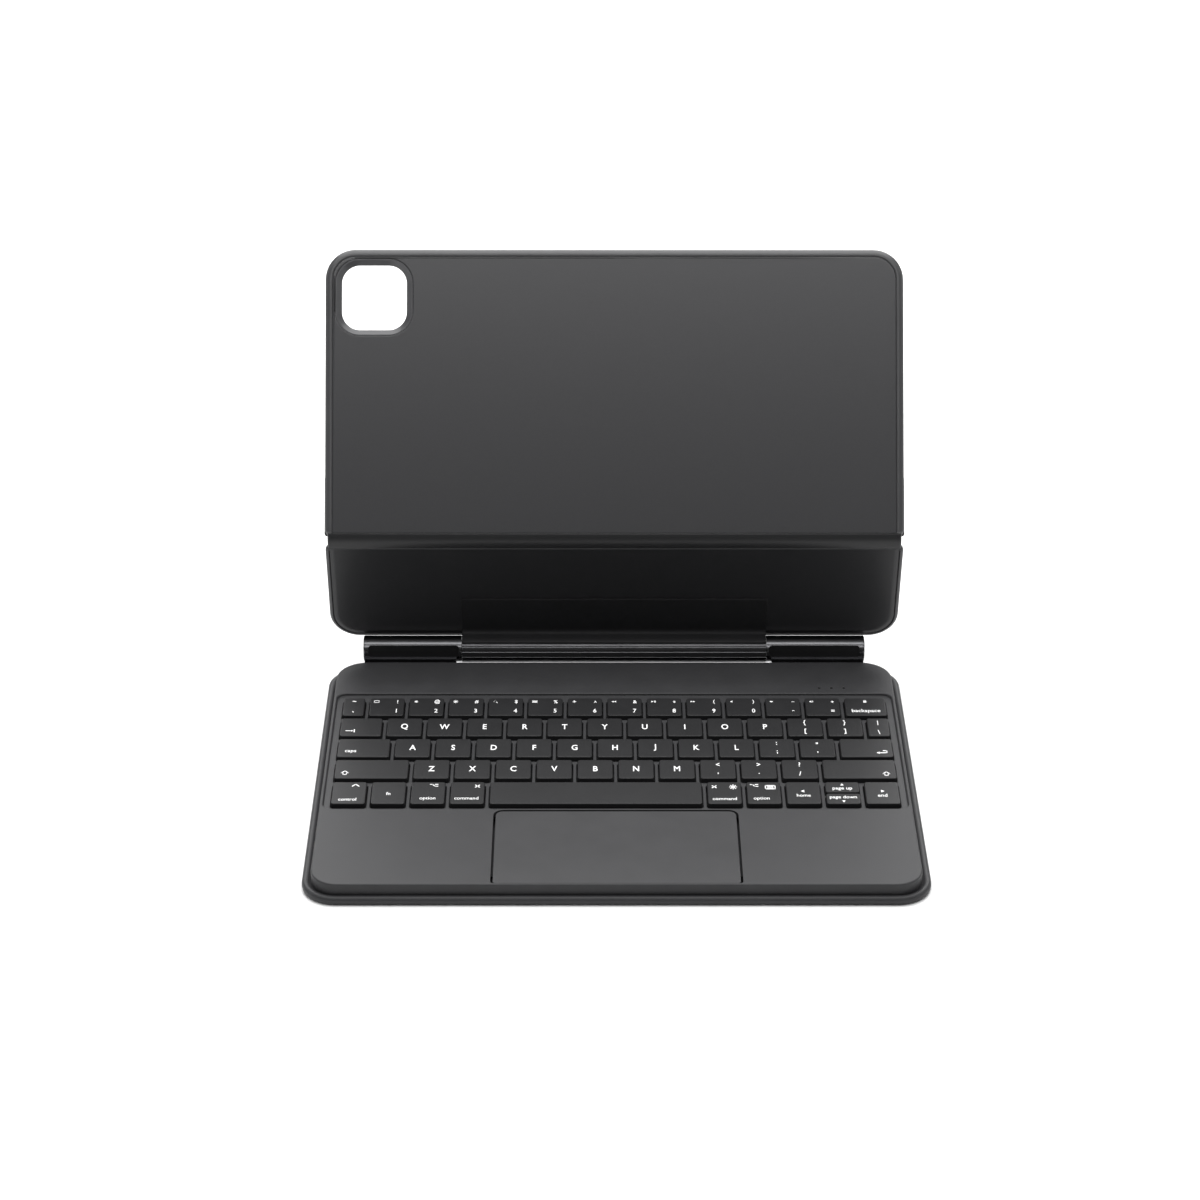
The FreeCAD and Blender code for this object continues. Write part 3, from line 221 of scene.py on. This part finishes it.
LOWER_RIM = leather("lower_rim_leather", (0.034, 0.034, 0.036), 0.42, 0.35)
# Lower lining: darker than the upper lining though it is the same leather, painted shade on the downward-facing
# lower panel.
LOWER_LINING_PAINTED_SHADE = lining_leather("lower_lining_painted_shade", (0.022, 0.022, 0.0235), 0.29, 0.32)
# Fold cover: darker than the lining, painted shade in the fold crease.
FOLD_COVER_PAINTED_SHADE = lining_leather("fold_cover_painted_shade", (0.02, 0.02, 0.021), 0.31, 0.28)
# Spine flap: darker than the skin leather, painted shade under the fold and over the spine.
FLAP_PAINTED_SHADE = leather("flap_painted_shade", (0.016, 0.016, 0.017), 0.5, 0.14)


def paint_frame():
    """Give each CAD node the material of its slot."""
    for part in frame["record"]["subparts"]:
        mesh = frame["nodes"][part["node"]].data
        for index in range(max(1, len(mesh.materials))):
            if not mesh.materials:
                mesh.materials.append(None)
            mesh.materials[index] = MATERIALS[part["material_slot"]]


# ---------------------------------------------------------------- mesh helpers

def rounded_loop(left, right, front, rear, front_corner, rear_corner, steps=10):
    """Points of a rounded rectangle, counter-clockwise from the front right corner."""
    points = []
    corners = ((right, front, -90, front_corner), (right, rear, 0, rear_corner),
               (left, rear, 90, rear_corner), (left, front, 180, front_corner))
    for x, y, first, radius in corners:
        centre_x = x - math.copysign(radius, x - (left + right) / 2)
        centre_y = y - math.copysign(radius, y - (front + rear) / 2)
        for step in range(steps + 1):
            angle = math.radians(first + 90 * step / steps)
            points.append((centre_x + radius * math.cos(angle), centre_y + radius * math.sin(angle)))
    return points


def inset_loop(outline, inset, front_stop=math.inf, rear_stop=math.inf):
    """The same rounded rectangle, drawn in by a distance that may stop early at two sides."""
    left, right, front, rear, front_corner, rear_corner = outline
    least = 0.4 * MM
    return rounded_loop(left + inset, right - inset,
                        front + min(inset, front_stop), rear - min(inset, rear_stop),
                        max(front_corner - inset, least), max(rear_corner - inset, least))


def add_ring(bm, loop, height):
    return [bm.verts.new((x, y, height)) for x, y in loop]


def bridge(bm, low, high, smooth=True):
    """Quads between two rings with the same number of points."""
    count = len(low)
    for index in range(count):
        after = (index + 1) % count
        face = bm.faces.new((low[index], low[after], high[after], high[index]))
        face.smooth = smooth


def fill_flat(bm, rings):
    """Flat faces inside the first ring and outside the others."""
    edges = []
    for ring in rings:
        for start, end in zip(ring, ring[1:] + ring[:1]):
            edges.append(bm.edges.get((start, end)) or bm.edges.new((start, end)))
    bmesh.ops.triangle_fill(bm, use_beauty=True, use_dissolve=False, edges=edges)


def finish_mesh(bm, name, transform, material_slot, body=None, finish=None):
    """Turn a bmesh into an object in the row frame that rides on a body."""
    bmesh.ops.recalc_face_normals(bm, faces=bm.faces)
    bmesh.ops.transform(bm, matrix=transform, verts=bm.verts)
    mesh = bpy.data.meshes.new(name)
    bm.to_mesh(mesh)
    bm.free()
    piece = bpy.data.objects.new(name, mesh)
    bpy.context.scene.collection.objects.link(piece)
    mesh.materials.append(finish or MATERIALS[material_slot])
    if body:
        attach(piece, body)
    return piece


def lofted(outline, profile, window=None, window_profile=(), **stops):
    """A shell from a rounded outline and a profile of (inset, height) stations.

    The first and last stations are filled flat.  A window, where there is one,
    gets its own profile from the first flat face to the last.
    """
    bm = bmesh.new()
    rings = [add_ring(bm, inset_loop(outline, inset, **stops), height) for inset, height in profile]
    for low, high in zip(rings, rings[1:]):
        bridge(bm, low, high)
    holes = []
    if window:
        holes = [add_ring(bm, inset_loop(window, inset), height) for inset, height in window_profile]
        for low, high in zip(holes, holes[1:]):
            bridge(bm, low, high)
    fill_flat(bm, [rings[0]] + holes[:1])
    fill_flat(bm, [rings[-1]] + holes[-1:])
    return bm


def quarter(inset, height, radius, first, steps=5):
    """Stations of a quarter round about (inset, height), from an angle in degrees."""
    stations = []
    for step in range(steps + 1):
        angle = math.radians(first + 90 * step / steps)
        stations.append((inset - radius * math.cos(angle), height + radius * math.sin(angle)))
    return stations


def panel_matrix(lean):
    """From a panel's flat drawing to its place at the fold."""
    return Matrix.Translation(FOLD) @ Matrix.Rotation(math.radians(90 + lean), 4, "X")


UPPER_MATRIX = panel_matrix(-UPPER_LEAN)
LOWER_MATRIX = panel_matrix(LOWER_LEAN)
FOLD_CORNER = 3.0 * MM
UPPER_OUTLINE = (-PANEL_HALF, PANEL_HALF, FOLD_GAP, UPPER_LENGTH, FOLD_CORNER, PANEL_CORNER)
LOWER_OUTLINE = (-PANEL_HALF, PANEL_HALF, -LOWER_LENGTH, -FOLD_GAP, PANEL_CORNER, FOLD_CORNER)
EDGE_ROUND = 1.35 * MM
LINING_TOP = 1.5 * MM
SEAT_FLOOR = 0.7 * MM
# Soft roll of the rim: distance in from the edge, and height over the panel's face, in millimetres.
RIM_ROLL = ((0.0, -1.3), (0.08, -0.95), (0.3, -0.62), (0.7, -0.36), (1.2, -0.13), (1.8, 0.06), (2.3, 0.15),
            (2.6, 0.16), (2.85, 0.08), (3.0, -0.06), (3.1, -0.2))
# The lower panel's rim is narrower: share of the upper panel's rim width.
LOWER_NARROW = 0.58


def window_outline(extra):
    reach = WINDOW_HALF + WINDOW_BEVEL + extra
    x, y = WINDOW_CENTRE
    corner = WINDOW_CORNER + WINDOW_BEVEL + extra
    return (x - reach, x + reach, y - reach, y + reach, corner, corner)


# ---------------------------------------------------------------- leather pieces

def panel_skin(name, outline, matrix, body, finish, narrow=1.0, window=None, **stops):
    """Outer leather of a panel: flat back, soft round rim that slopes down to the lining."""
    edge = PANEL_HALF_THICK - EDGE_ROUND
    profile = [(4 * MM, -PANEL_HALF_THICK), (EDGE_ROUND + 0.5 * MM, -PANEL_HALF_THICK)]
    profile += quarter(EDGE_ROUND, -edge, EDGE_ROUND, -90)
    profile += [(inset * narrow * MM, PANEL_HALF_THICK + rise * MM) for inset, rise in RIM_ROLL]
    profile += [(3.15 * narrow * MM, LINING_TOP - 0.3 * MM), (3.25 * narrow * MM, SEAT_FLOOR),
                (4 * MM, SEAT_FLOOR)]
    hole = [(0.0, -PANEL_HALF_THICK), (-0.01 * MM, SEAT_FLOOR)]
    bm = lofted(outline, profile, window, hole, **stops)
    return finish_mesh(bm, name, matrix, "skin", body, finish)


def panel_lining(name, outline, matrix, body, finish, narrow=1.0, window=None, **stops):
    """Smooth lining inside the rim, its edge turned down against the rim."""
    low = SEAT_FLOOR + 0.05 * MM
    profile = [(4 * MM, low), (3.12 * narrow * MM, low), (3.1 * narrow * MM, LINING_TOP - 0.3 * MM),
               (3.2 * narrow * MM, LINING_TOP - 0.08 * MM), (3.45 * narrow * MM, LINING_TOP),
               (4 * MM, LINING_TOP)]
    hole = [(0.0, low), (-0.01 * MM, LINING_TOP - 0.05 * MM), (-0.06 * MM, LINING_TOP),
            (-0.6 * MM, LINING_TOP)]
    bm = lofted(outline, profile, window, hole, **stops)
    return finish_mesh(bm, name, matrix, "lining", body, finish)


def base_skin():
    """Leather underside of the base with its rolled lip and the crease beside the deck."""
    low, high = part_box("base_cover_skin")
    corner = 14 * MM
    outline = (low.x, high.x, low.y, high.y, corner, corner)
    lip, turn = high.z, 1.5 * MM
    profile = [(9 * MM, 0.0), (2.2 * MM, 0.0)]
    profile += quarter(turn, turn, turn, -90)
    profile += quarter(turn, lip - turn, turn, 0)
    profile += [(2.2 * MM, lip - 0.06 * MM), (2.7 * MM, lip - 0.35 * MM), (3.3 * MM, lip - 0.9 * MM),
                (5 * MM, lip - 1.3 * MM)]
    piece = finish_mesh(lofted(outline, profile), "base_leather", Matrix.Identity(4), "skin", "base")
    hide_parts("base_cover_skin")


def fold_band():
    """Thin leather band across the outside of the upper panel beside the fold."""
    half, width, corner = PANEL_HALF + 0.3 * MM, 26 * MM, 1.2 * MM
    outline = (-half, half, FOLD_GAP, FOLD_GAP + width, corner, corner)
    outer, inner = -PANEL_HALF_THICK - 0.4 * MM, -PANEL_HALF_THICK + 0.35 * MM
    profile = [(2 * MM, inner), (0.1 * MM, inner), (0.0, inner - 0.15 * MM), (0.0, outer + 0.3 * MM),
               (0.08 * MM, outer + 0.1 * MM), (0.3 * MM, outer), (2 * MM, outer)]
    piece = finish_mesh(lofted(outline, profile), "fold_band_leather", UPPER_MATRIX, "skin", "upper_panel")
    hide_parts("fold_band")


def curve_points(start, control, end, steps):
    """Points of a curve from start to end that bends towards a control point."""
    points = []
    for step in range(steps + 1):
        t = step / steps
        points.append(start * (1 - t) ** 2 + control * (2 * t * (1 - t)) + end * t ** 2)
    return points


def fold_cover():
    """Lining leather that bends over the fold from one panel to the other, darker than the lining as painted shade
    in the crease.
    """
    reach, faces = 3.2 * MM, (PANEL_HALF_THICK - 0.01 * MM, -1.3 * MM)
    turn = math.tan(math.radians(UPPER_LEAN + LOWER_LEAN) / 2)
    sides = []
    for face in faces:
        start = UPPER_MATRIX @ Vector((0, reach, face))
        end = LOWER_MATRIX @ Vector((0, -reach, face))
        control = UPPER_MATRIX @ Vector((0, -face * turn, face))
        sides.append(curve_points(start, control, end, 14))
    half = PANEL_HALF - 1.1 * MM
    stations = ((half, 0.3), (half - 0.12 * MM, 0.6), (half - 0.4 * MM, 0.87), (half - 0.9 * MM, 1.0))
    stations += tuple((-x, share) for x, share in reversed(stations))
    bm = bmesh.new()
    rings = []
    for x, share in stations:
        fronts, backs = [], []
        for front, back in zip(*sides):
            centre = (front + back) / 2
            fronts.append(centre + (front - centre) * share)
            backs.append(centre + (back - centre) * share)
        rings.append([bm.verts.new((x, point.y, point.z)) for point in fronts + backs[::-1]])
    for low, high in zip(rings, rings[1:]):
        bridge(bm, low, high)
    for ring in (rings[0], rings[-1]):
        bm.faces.new(ring)
    piece = finish_mesh(bm, "fold_leather", Matrix.Identity(4), "lining", None, FOLD_COVER_PAINTED_SHADE)
    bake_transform(piece)
    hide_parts("fold_strip")


def spine_flap():
    """Leather flap from the lower lining down over the top of the spine, darkened as painted shade."""
    to_spine = LOWER_MATRIX.inverted() @ SPINE
    along, out = to_spine.y, to_spine.z
    half_thick, bend, last = 0.25 * MM, 2.2 * MM, math.radians(FLAP_END)
    radius = SPINE_RADIUS + 0.05 * MM + half_thick
    face = LINING_TOP + 0.08 * MM + half_thick
    shelf = along + radius
    path = [Vector((0, FLAP_TOP, face)), Vector((0, FLAP_TOP - 1 * MM, face)),
            Vector((0, shelf + bend, face))]
    for step in range(1, 7):
        angle = math.radians(90 * step / 6)
        path.append(Vector((0, shelf + bend - bend * math.sin(angle),
                            face + bend - bend * math.cos(angle))))
    for step in range(0, 5):
        angle = last * step / 4
        path.append(Vector((0, along + radius * math.cos(angle), out + radius * math.sin(angle))))
    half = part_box("spine_cover")[1].x
    bm = bmesh.new()
    rings = []
    for x, share in ((half, 0.2), (half - 0.12 * MM, 0.8), (half - 0.4 * MM, 1.0),
                     (-half + 0.4 * MM, 1.0), (-half + 0.12 * MM, 0.8), (-half, 0.2)):
        upper, lower = [], []
        for index, point in enumerate(path):
            before, after = path[max(index - 1, 0)], path[min(index + 1, len(path) - 1)]
            direction = (after - before).normalized()
            taper = 0.35 if index in (0, len(path) - 1) else 1.0
            normal = Vector((0, direction.z, -direction.y)) * half_thick * share * taper
            upper.append(point + normal)
            lower.append(point - normal)
        rings.append([bm.verts.new((x, point.y, point.z)) for point in upper + lower[::-1]])
    for low, high in zip(rings, rings[1:]):
        bridge(bm, low, high)
    for ring in (rings[0], rings[-1]):
        bm.faces.new(ring)
    piece = finish_mesh(bm, "spine_leather", LOWER_MATRIX, "skin", "lower_panel", FLAP_PAINTED_SHADE)
    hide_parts("spine_cover")


def leather_pieces():
    """Every soft piece, each in place of the plain CAD solid that it stands for."""
    stop = EDGE_ROUND
    window, loose = window_outline(0.0), window_outline(WINDOW_LOOSE)
    upper = (UPPER_OUTLINE, UPPER_MATRIX, "upper_panel")
    lower = (LOWER_OUTLINE, LOWER_MATRIX, "lower_panel")
    upper_skin = panel_skin("upper_leather", *upper, UPPER_SKIN_PAINTED_HIGHLIGHT, 1.0, window, front_stop=stop)
    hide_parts("upper_outer_skin")
    upper_lining = panel_lining("upper_lining", *upper, None, 1.0, loose, front_stop=stop)
    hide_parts("upper_inner_skin")
    lower_skin = panel_skin("lower_leather", *lower, LOWER_RIM, LOWER_NARROW, rear_stop=stop)
    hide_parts("lower_outer_skin")
    lower_lining = panel_lining("lower_lining", *lower, LOWER_LINING_PAINTED_SHADE, LOWER_NARROW, rear_stop=stop)
    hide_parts("lower_inner_skin")
    base_skin()
    fold_band()
    fold_cover()
    spine_flap()


# ---------------------------------------------------------------- key legends

KEY_PITCH = 17.02 * MM
INK_THICK = 0.03 * MM
# Sizes of single letters, figures and words, and the shape of the lettering.
LETTER = 4.7 * MM
FIGURE = 3.6 * MM
WORD = 2.55 * MM
LETTER_WIDE, LETTER_TALL = 0.82, 1.2
LETTER_BOLD, WORD_BOLD = 0.018, 0.008
# Icons: line width over the width given, and how far square ends reach past the points, in half widths.
STROKE = 1.5
CAP = 0.9
NUMBER_MARKS = (("1", "!"), ("2", "@"), ("3", "#"), ("4", "$"), ("5", "%"), ("6", "^"), ("7", "&"),
                ("8", "*"), ("9", "("), ("0", ")"), ("-", "_"), ("=", "+"))


def ink_text(bm, words, size, x, y, top, align="CENTER"):
    """Flat lettering on a key top."""
    curve = bpy.data.curves.new("ink", "FONT")
    curve.body = words
    curve.size = size
    curve.align_x = align
    curve.align_y = "CENTER"
    curve.extrude = INK_THICK / 2
    curve.resolution_u = 3
    curve.offset = size * (LETTER_BOLD if len(words) == 1 else WORD_BOLD)
    source = bpy.data.objects.new("ink", curve)
    mesh = bpy.data.meshes.new_from_object(source)
    levels = [point.co.y for point in mesh.vertices]
    mesh.transform(Matrix.Translation((0, -(min(levels) + max(levels)) / 2, 0)))
    mesh.transform(Matrix.Diagonal((LETTER_WIDE if len(words) == 1 else 1.0, LETTER_TALL, 1.0, 1.0)))
    mesh.transform(Matrix.Translation((x, y, top + INK_THICK / 2)))
    bm.from_mesh(mesh)
    bpy.data.objects.remove(source)
    bpy.data.curves.remove(curve)
    bpy.data.meshes.remove(mesh)


def ink_shape(bm, points, x, y, top, size):
    """A closed outline of unit points, raised by the thickness of the ink."""
    tall = size * LETTER_TALL
    low = [bm.verts.new((x + px * size, y + py * tall, top)) for px, py in points]
    high = [bm.verts.new((x + px * size, y + py * tall, top + INK_THICK)) for px, py in points]
    bm.faces.new(low[::-1])
    bm.faces.new(high)
    bridge(bm, low, high, smooth=False)


def bar(start, end, width):
    """Outline of a straight stroke between two points, with square ends."""
    dx, dy = end[0] - start[0], end[1] - start[1]
    half = width * STROKE / 2 / math.hypot(dx, dy)
    ax, ay = dx * half * CAP, dy * half * CAP
    nx, ny = -dy * half, dx * half
    return [(start[0] - ax - nx, start[1] - ay - ny), (end[0] + ax - nx, end[1] + ay - ny),
            (end[0] + ax + nx, end[1] + ay + ny), (start[0] - ax + nx, start[1] - ay + ny)]


def disc(x, y, radius, steps=14):
    return [(x + radius * math.cos(math.tau * step / steps), y + radius * math.sin(math.tau * step / steps))
            for step in range(steps)]


def strokes(points, width, closed=False):
    """Straight strokes from point to point."""
    ends = points[1:] + points[:1] if closed else points[1:]
    return [bar(start, end, width) for start, end in zip(points, ends)]


def triangle(x, y, size, direction):
    """Small filled arrow head: direction is a unit step."""
    dx, dy = direction
    wide, back = size * 0.8, size * 0.4
    return [(x + dx * size, y + dy * size),
            (x - dy * wide - dx * back, y + dx * wide - dy * back),
            (x + dy * wide - dx * back, y - dx * wide - dy * back)]


def sun(rays, radius):
    shapes = [disc(0, 0, radius)]
    for step in range(rays):
        angle = math.tau * step / rays
        shapes.append(bar((radius * 1.35 * math.cos(angle), radius * 1.35 * math.sin(angle)),
                          (radius * 1.9 * math.cos(angle), radius * 1.9 * math.sin(angle)), 0.12))
    return shapes


def speaker(waves):
    shapes = [[(-0.6, -0.2), (-0.3, -0.2), (0.0, -0.5), (0.0, 0.5), (-0.3, 0.2), (-0.6, 0.2)]]
    for wave in range(waves):
        x = 0.2 + 0.22 * wave
        shapes += strokes([(x, -0.25 - 0.08 * wave), (x + 0.1, 0), (x, 0.25 + 0.08 * wave)], 0.1)
    return shapes


ICONS = {
    "tab": (strokes([(-1, 0), (0.5, 0)], 0.16) + [triangle(0.5, 0, 0.45, (1, 0))]
            + strokes([(1.1, -0.5), (1.1, 0.5)], 0.16)),
    "shift": strokes([(-0.8, 0), (0, 0.75), (0.8, 0), (0.4, 0), (0.4, -0.6), (-0.4, -0.6), (-0.4, 0)],
                     0.15, True),
    "enter": (strokes([(-0.6, 0), (1.0, 0), (1.0, 0.7), (0.3, 0.7)], 0.16)
              + [triangle(-0.7, 0, 0.5, (-1, 0))]),
    "up": [triangle(0, 0, 0.6, (0, 1))],
    "down": [triangle(0, 0, 0.6, (0, -1))],
    "left": [triangle(0, 0, 0.6, (-1, 0))],
    "right": [triangle(0, 0, 0.6, (1, 0))],
    "hat": strokes([(-0.7, -0.3), (0, 0.35), (0.7, -0.3)], 0.17),
    "choice": (strokes([(-0.9, 0.35), (-0.4, 0.35), (0.2, -0.35), (0.9, -0.35)], 0.17)
               + [bar((0.3, 0.35), (0.9, 0.35), 0.17)]),
    "cross": strokes([(-0.6, -0.5), (0.6, 0.5)], 0.24) + strokes([(-0.6, 0.5), (0.6, -0.5)], 0.24),
    "window": strokes([(-0.7, -0.5), (0.7, -0.5), (0.7, 0.5), (-0.7, 0.5)], 0.14, True),
    "dim": sun(8, 0.25),
    "bright": sun(8, 0.36),
    "find": strokes(disc(-0.1, 0.1, 0.38), 0.14, True) + strokes([(0.2, -0.2), (0.65, -0.6)], 0.16),
    "rows": [bar((-0.7, y), (0.7, y), 0.16) for y in (-0.36, 0.0, 0.36)],
    "voice": [disc(0, 0.2, 0.3)] + strokes([(-0.45, 0.0), (-0.3, -0.35), (0.3, -0.35), (0.45, 0.0)], 0.12),
    "back": [triangle(-0.25, 0, 0.5, (-1, 0)), triangle(0.5, 0, 0.5, (-1, 0))],
    "play": [triangle(-0.4, 0, 0.5, (1, 0))] + [bar((x, -0.35), (x, 0.35), 0.14) for x in (0.35, 0.65)],
    "next": [triangle(-0.5, 0, 0.5, (1, 0)), triangle(0.25, 0, 0.5, (1, 0))],
    "mute": speaker(0),
    "quiet": speaker(1),
    "loud": speaker(2),
    "lock": ([[(-0.4, -0.5), (0.4, -0.5), (0.4, 0.1), (-0.4, 0.1)]]
             + strokes([(-0.25, 0.1), (-0.25, 0.45), (0.25, 0.45), (0.25, 0.1)], 0.12)),
    "board": (strokes([(-0.9, -0.5), (0.9, -0.5), (0.9, 0.5), (-0.9, 0.5)], 0.14, True)
              + [bar((-0.5, y), (0.5, y), 0.14) for y in (-0.2, 0.15)]),
}
NUMBER_ICONS = ("window", "dim", "bright", "find", "rows", "voice",
                "back", "play", "next", "mute", "quiet", "loud")


def key_box(name, index=0, count=1):
    """Centre, half width, half depth and top of one key in a row of equal ones."""
    low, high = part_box(name)
    pitch = KEY_PITCH
    width = high.x - low.x - (count - 1) * pitch
    x = low.x + width / 2 + index * pitch
    return x, (low.y + high.y) / 2, width / 2, (high.y - low.y) / 2, high.z


def ink_icon(bm, icon, x, y, top, size):
    for points in ICONS[icon]:
        ink_shape(bm, points, x, y, top, size)


def legend_piece(name, bm):
    """All the ink on one moving piece."""
    mesh = bpy.data.meshes.new("legend_" + name)
    bm.to_mesh(mesh)
    bm.free()
    mesh.materials.clear()
    mesh.materials.append(LEGEND_INK)
    piece = bpy.data.objects.new("legend_" + name, mesh)
    bpy.context.scene.collection.objects.link(piece)
    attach(piece, name)


def number_legends():
    bm = bmesh.new()
    for index, ((low_mark, high_mark), icon) in enumerate(zip(NUMBER_MARKS, NUMBER_ICONS)):
        x, y, half, deep, top = key_box("number_keys", index, len(NUMBER_MARKS))
        ink_text(bm, low_mark, FIGURE, x + half * 0.57, y - deep * 0.46, top)
        ink_text(bm, high_mark, FIGURE * 0.85, x + half * 0.6, y + deep * 0.56, top)
        ink_icon(bm, icon, x - half * 0.62, y + deep * 0.58, top, 1.4 * MM)
    legend_piece("number_keys", bm)


def letter_legends(name, letters, pairs=()):
    """A row of letters, and at its end keys with two marks, one above the other."""
    bm = bmesh.new()
    count = len(letters) + len(pairs)
    for index, letter in enumerate(letters):
        x, y, half, deep, top = key_box(name, index, count)
        ink_text(bm, letter, LETTER, x, y + deep * 0.03, top)
    for index, (low_mark, high_mark) in enumerate(pairs, start=len(letters)):
        x, y, half, deep, top = key_box(name, index, count)
        ink_text(bm, low_mark, LETTER * 0.8, x, y - deep * 0.48, top)
        ink_text(bm, high_mark, LETTER * 0.8, x, y + deep * 0.48, top)
    legend_piece(name, bm)


def key_legend(name, texts=(), icons=()):
    """Words and icons on a single key, placed by shares of its half width and depth."""
    bm = bmesh.new()
    x, y, half, deep, top = key_box(name)
    for words, size, across, along in texts:
        ink_text(bm, words, size, x + across, y + deep * along, top)
    for icon, size, across, along in icons:
        ink_icon(bm, icon, x + across, y + deep * along, top, size)
    legend_piece(name, bm)


def legends():
    number_legends()
    letter_legends("top_letter_keys", "QWERTYUIOP", (("[", "{"), ("]", "}")))
    letter_legends("middle_letter_keys", "ASDFGHJKL", ((";", ":"), ("'", '"')))
    letter_legends("bottom_letter_keys", "ZXCVBNM", ((",", "<"), (".", ">"), ("/", "?")))
    key_legend("key_grave", (("`", LETTER, 0, -0.6), ("~", FIGURE, 0, 0.6)))
    key_legend("key_backspace", (("backspace", WORD * 1.2, 0, -0.5),), (("lock", 1.6 * MM, 0, 0.6),))
    key_legend("key_tab", (), (("tab", 1.7 * MM, -4.6 * MM, -0.42),))
    key_legend("key_backslash", (("\\", LETTER * 0.8, 0, -0.56), ("|", LETTER * 0.7, 0, 0.46)))
    key_legend("key_caps_lock", (("caps", WORD * 1.1, -5.4 * MM, -0.42),))
    key_legend("key_enter", (), (("enter", 2.0 * MM, 6.4 * MM, -0.55),))
    key_legend("key_left_shift", (), (("shift", 1.8 * MM, -11.0 * MM, -0.42),))
    key_legend("key_right_shift", (), (("shift", 1.8 * MM, 11.0 * MM, -0.52),))
    key_legend("key_control", (("control", WORD, -0.4 * MM, -0.6),), (("hat", 1.9 * MM, 2.4 * MM, 0.68),))
    key_legend("key_fn", (("fn", WORD, 0, -0.08),))
    key_legend("key_left_alt", (("option", WORD, 0, -0.54),), (("choice", 1.7 * MM, 2.3 * MM, 0.68),))
    key_legend("key_left_cmd", (("command", WORD, -0.3 * MM, -0.5),), (("cross", 1.3 * MM, 4.0 * MM, 0.6),))
    key_legend("key_right_cmd", (("command", WORD, 0, -0.55),),
               (("cross", 1.3 * MM, -4.1 * MM, 0.54), ("bright", 2.1 * MM, 3.7 * MM, 0.52)))
    key_legend("key_right_alt", (("option", WORD, -1.1 * MM, -0.55),),
               (("choice", 1.7 * MM, -3.8 * MM, 0.66), ("board", 2.2 * MM, 2.8 * MM, 0.5)))
    key_legend("key_left_arrow", (("home", WORD, 0, -0.24),), (("left", 1.7 * MM, 0, 0.14),))
    key_legend("key_up_arrow", (("page up", WORD * 1.05, 0, -0.4),), (("up", 1.5 * MM, 0, 0.4),))
    key_legend("key_down_arrow", (("page down", WORD * 1.02, 0, 0.2),), (("down", 1.5 * MM, 0, -0.5),))
    key_legend("key_right_arrow", (("end", WORD * 1.1, 0, -0.24),), (("right", 1.7 * MM, 0, 0.14),))


# ---------------------------------------------------------------- studio

def floor():
    bm = bmesh.new()
    reach = 4.0
    fill_flat(bm, [add_ring(bm, rounded_loop(-reach, reach, -reach, reach, 0.5, 0.5), 0.0)])
    mesh = bpy.data.meshes.new("studio_floor")
    bm.to_mesh(mesh)
    bm.free()
    ground = bpy.data.objects.new("studio_floor", mesh)
    bpy.context.scene.collection.objects.link(ground)
    mesh.materials.append(shader("studio_white", (0.93, 0.93, 0.93), 0.75, specular=0.1))


def soft_light(name, place, target, width, depth, power):
    lamp = bpy.data.lights.new(name, "AREA")
    lamp.shape = "RECTANGLE"
    lamp.size = width
    lamp.size_y = depth
    lamp.energy = power
    holder = bpy.data.objects.new(name, lamp)
    holder.location = place
    holder.rotation_euler = (Vector(target) - Vector(place)).to_track_quat("-Z", "Y").to_euler()
    bpy.context.scene.collection.objects.link(holder)


def studio():
    """White room light with a large soft box above and behind the case."""
    world = bpy.data.worlds.new("studio_sky")
    world.use_nodes = True
    sky = world.node_tree.nodes["Background"]
    sky.inputs["Color"].default_value = (1.0, 1.0, 1.0, 1.0)
    sky.inputs["Strength"].default_value = 0.08
    bpy.context.scene.world = world
    base = (0.0, 0.05, 0.0)
    soft_light("top_box", (0.0, 0.05, 1.3), base, 1.6, 0.9, 16.5)
    soft_light("rear_top_box", (0.0, 0.7, 1.1), base, 1.6, 0.7, 14.0)
    soft_light("rear_box", (0.0, 1.3, 0.7), base, 1.8, 0.6, 15.0)
    soft_light("left_strip", (-1.1, 0.0, 0.5), base, 0.12, 0.9, 1.6)
    soft_light("right_strip", (1.1, 0.0, 0.5), base, 0.12, 0.9, 1.6)
    soft_light("front_strip", (0.0, -1.1, 1.42), (0.0, 0.12, 0.12), 1.6, 0.3, 6.5)
    bpy.context.scene.view_settings.view_transform = "Standard"


def camera():
    """Long lens, looking down at the open case from the front."""
    pitch, turn, roll = 28.609, 0.186, 0.095
    place = (-0.0103, -1.16515, 0.72333)
    lens = bpy.data.cameras.new("camera")
    lens.lens = 98.29
    lens.sensor_width = 36.0
    lens.clip_start = 0.05
    eye = bpy.data.objects.new("camera", lens)
    tilt = (Matrix.Rotation(math.radians(-turn), 4, "Z") @ Matrix.Rotation(math.radians(90 - pitch), 4, "X")
            @ Matrix.Rotation(math.radians(roll), 4, "Z"))
    eye.matrix_world = Matrix.Translation(place) @ tilt
    bpy.context.scene.collection.objects.link(eye)
    bpy.context.scene.camera = eye


camera()
paint_frame()
leather_pieces()
legends()
floor()
studio()
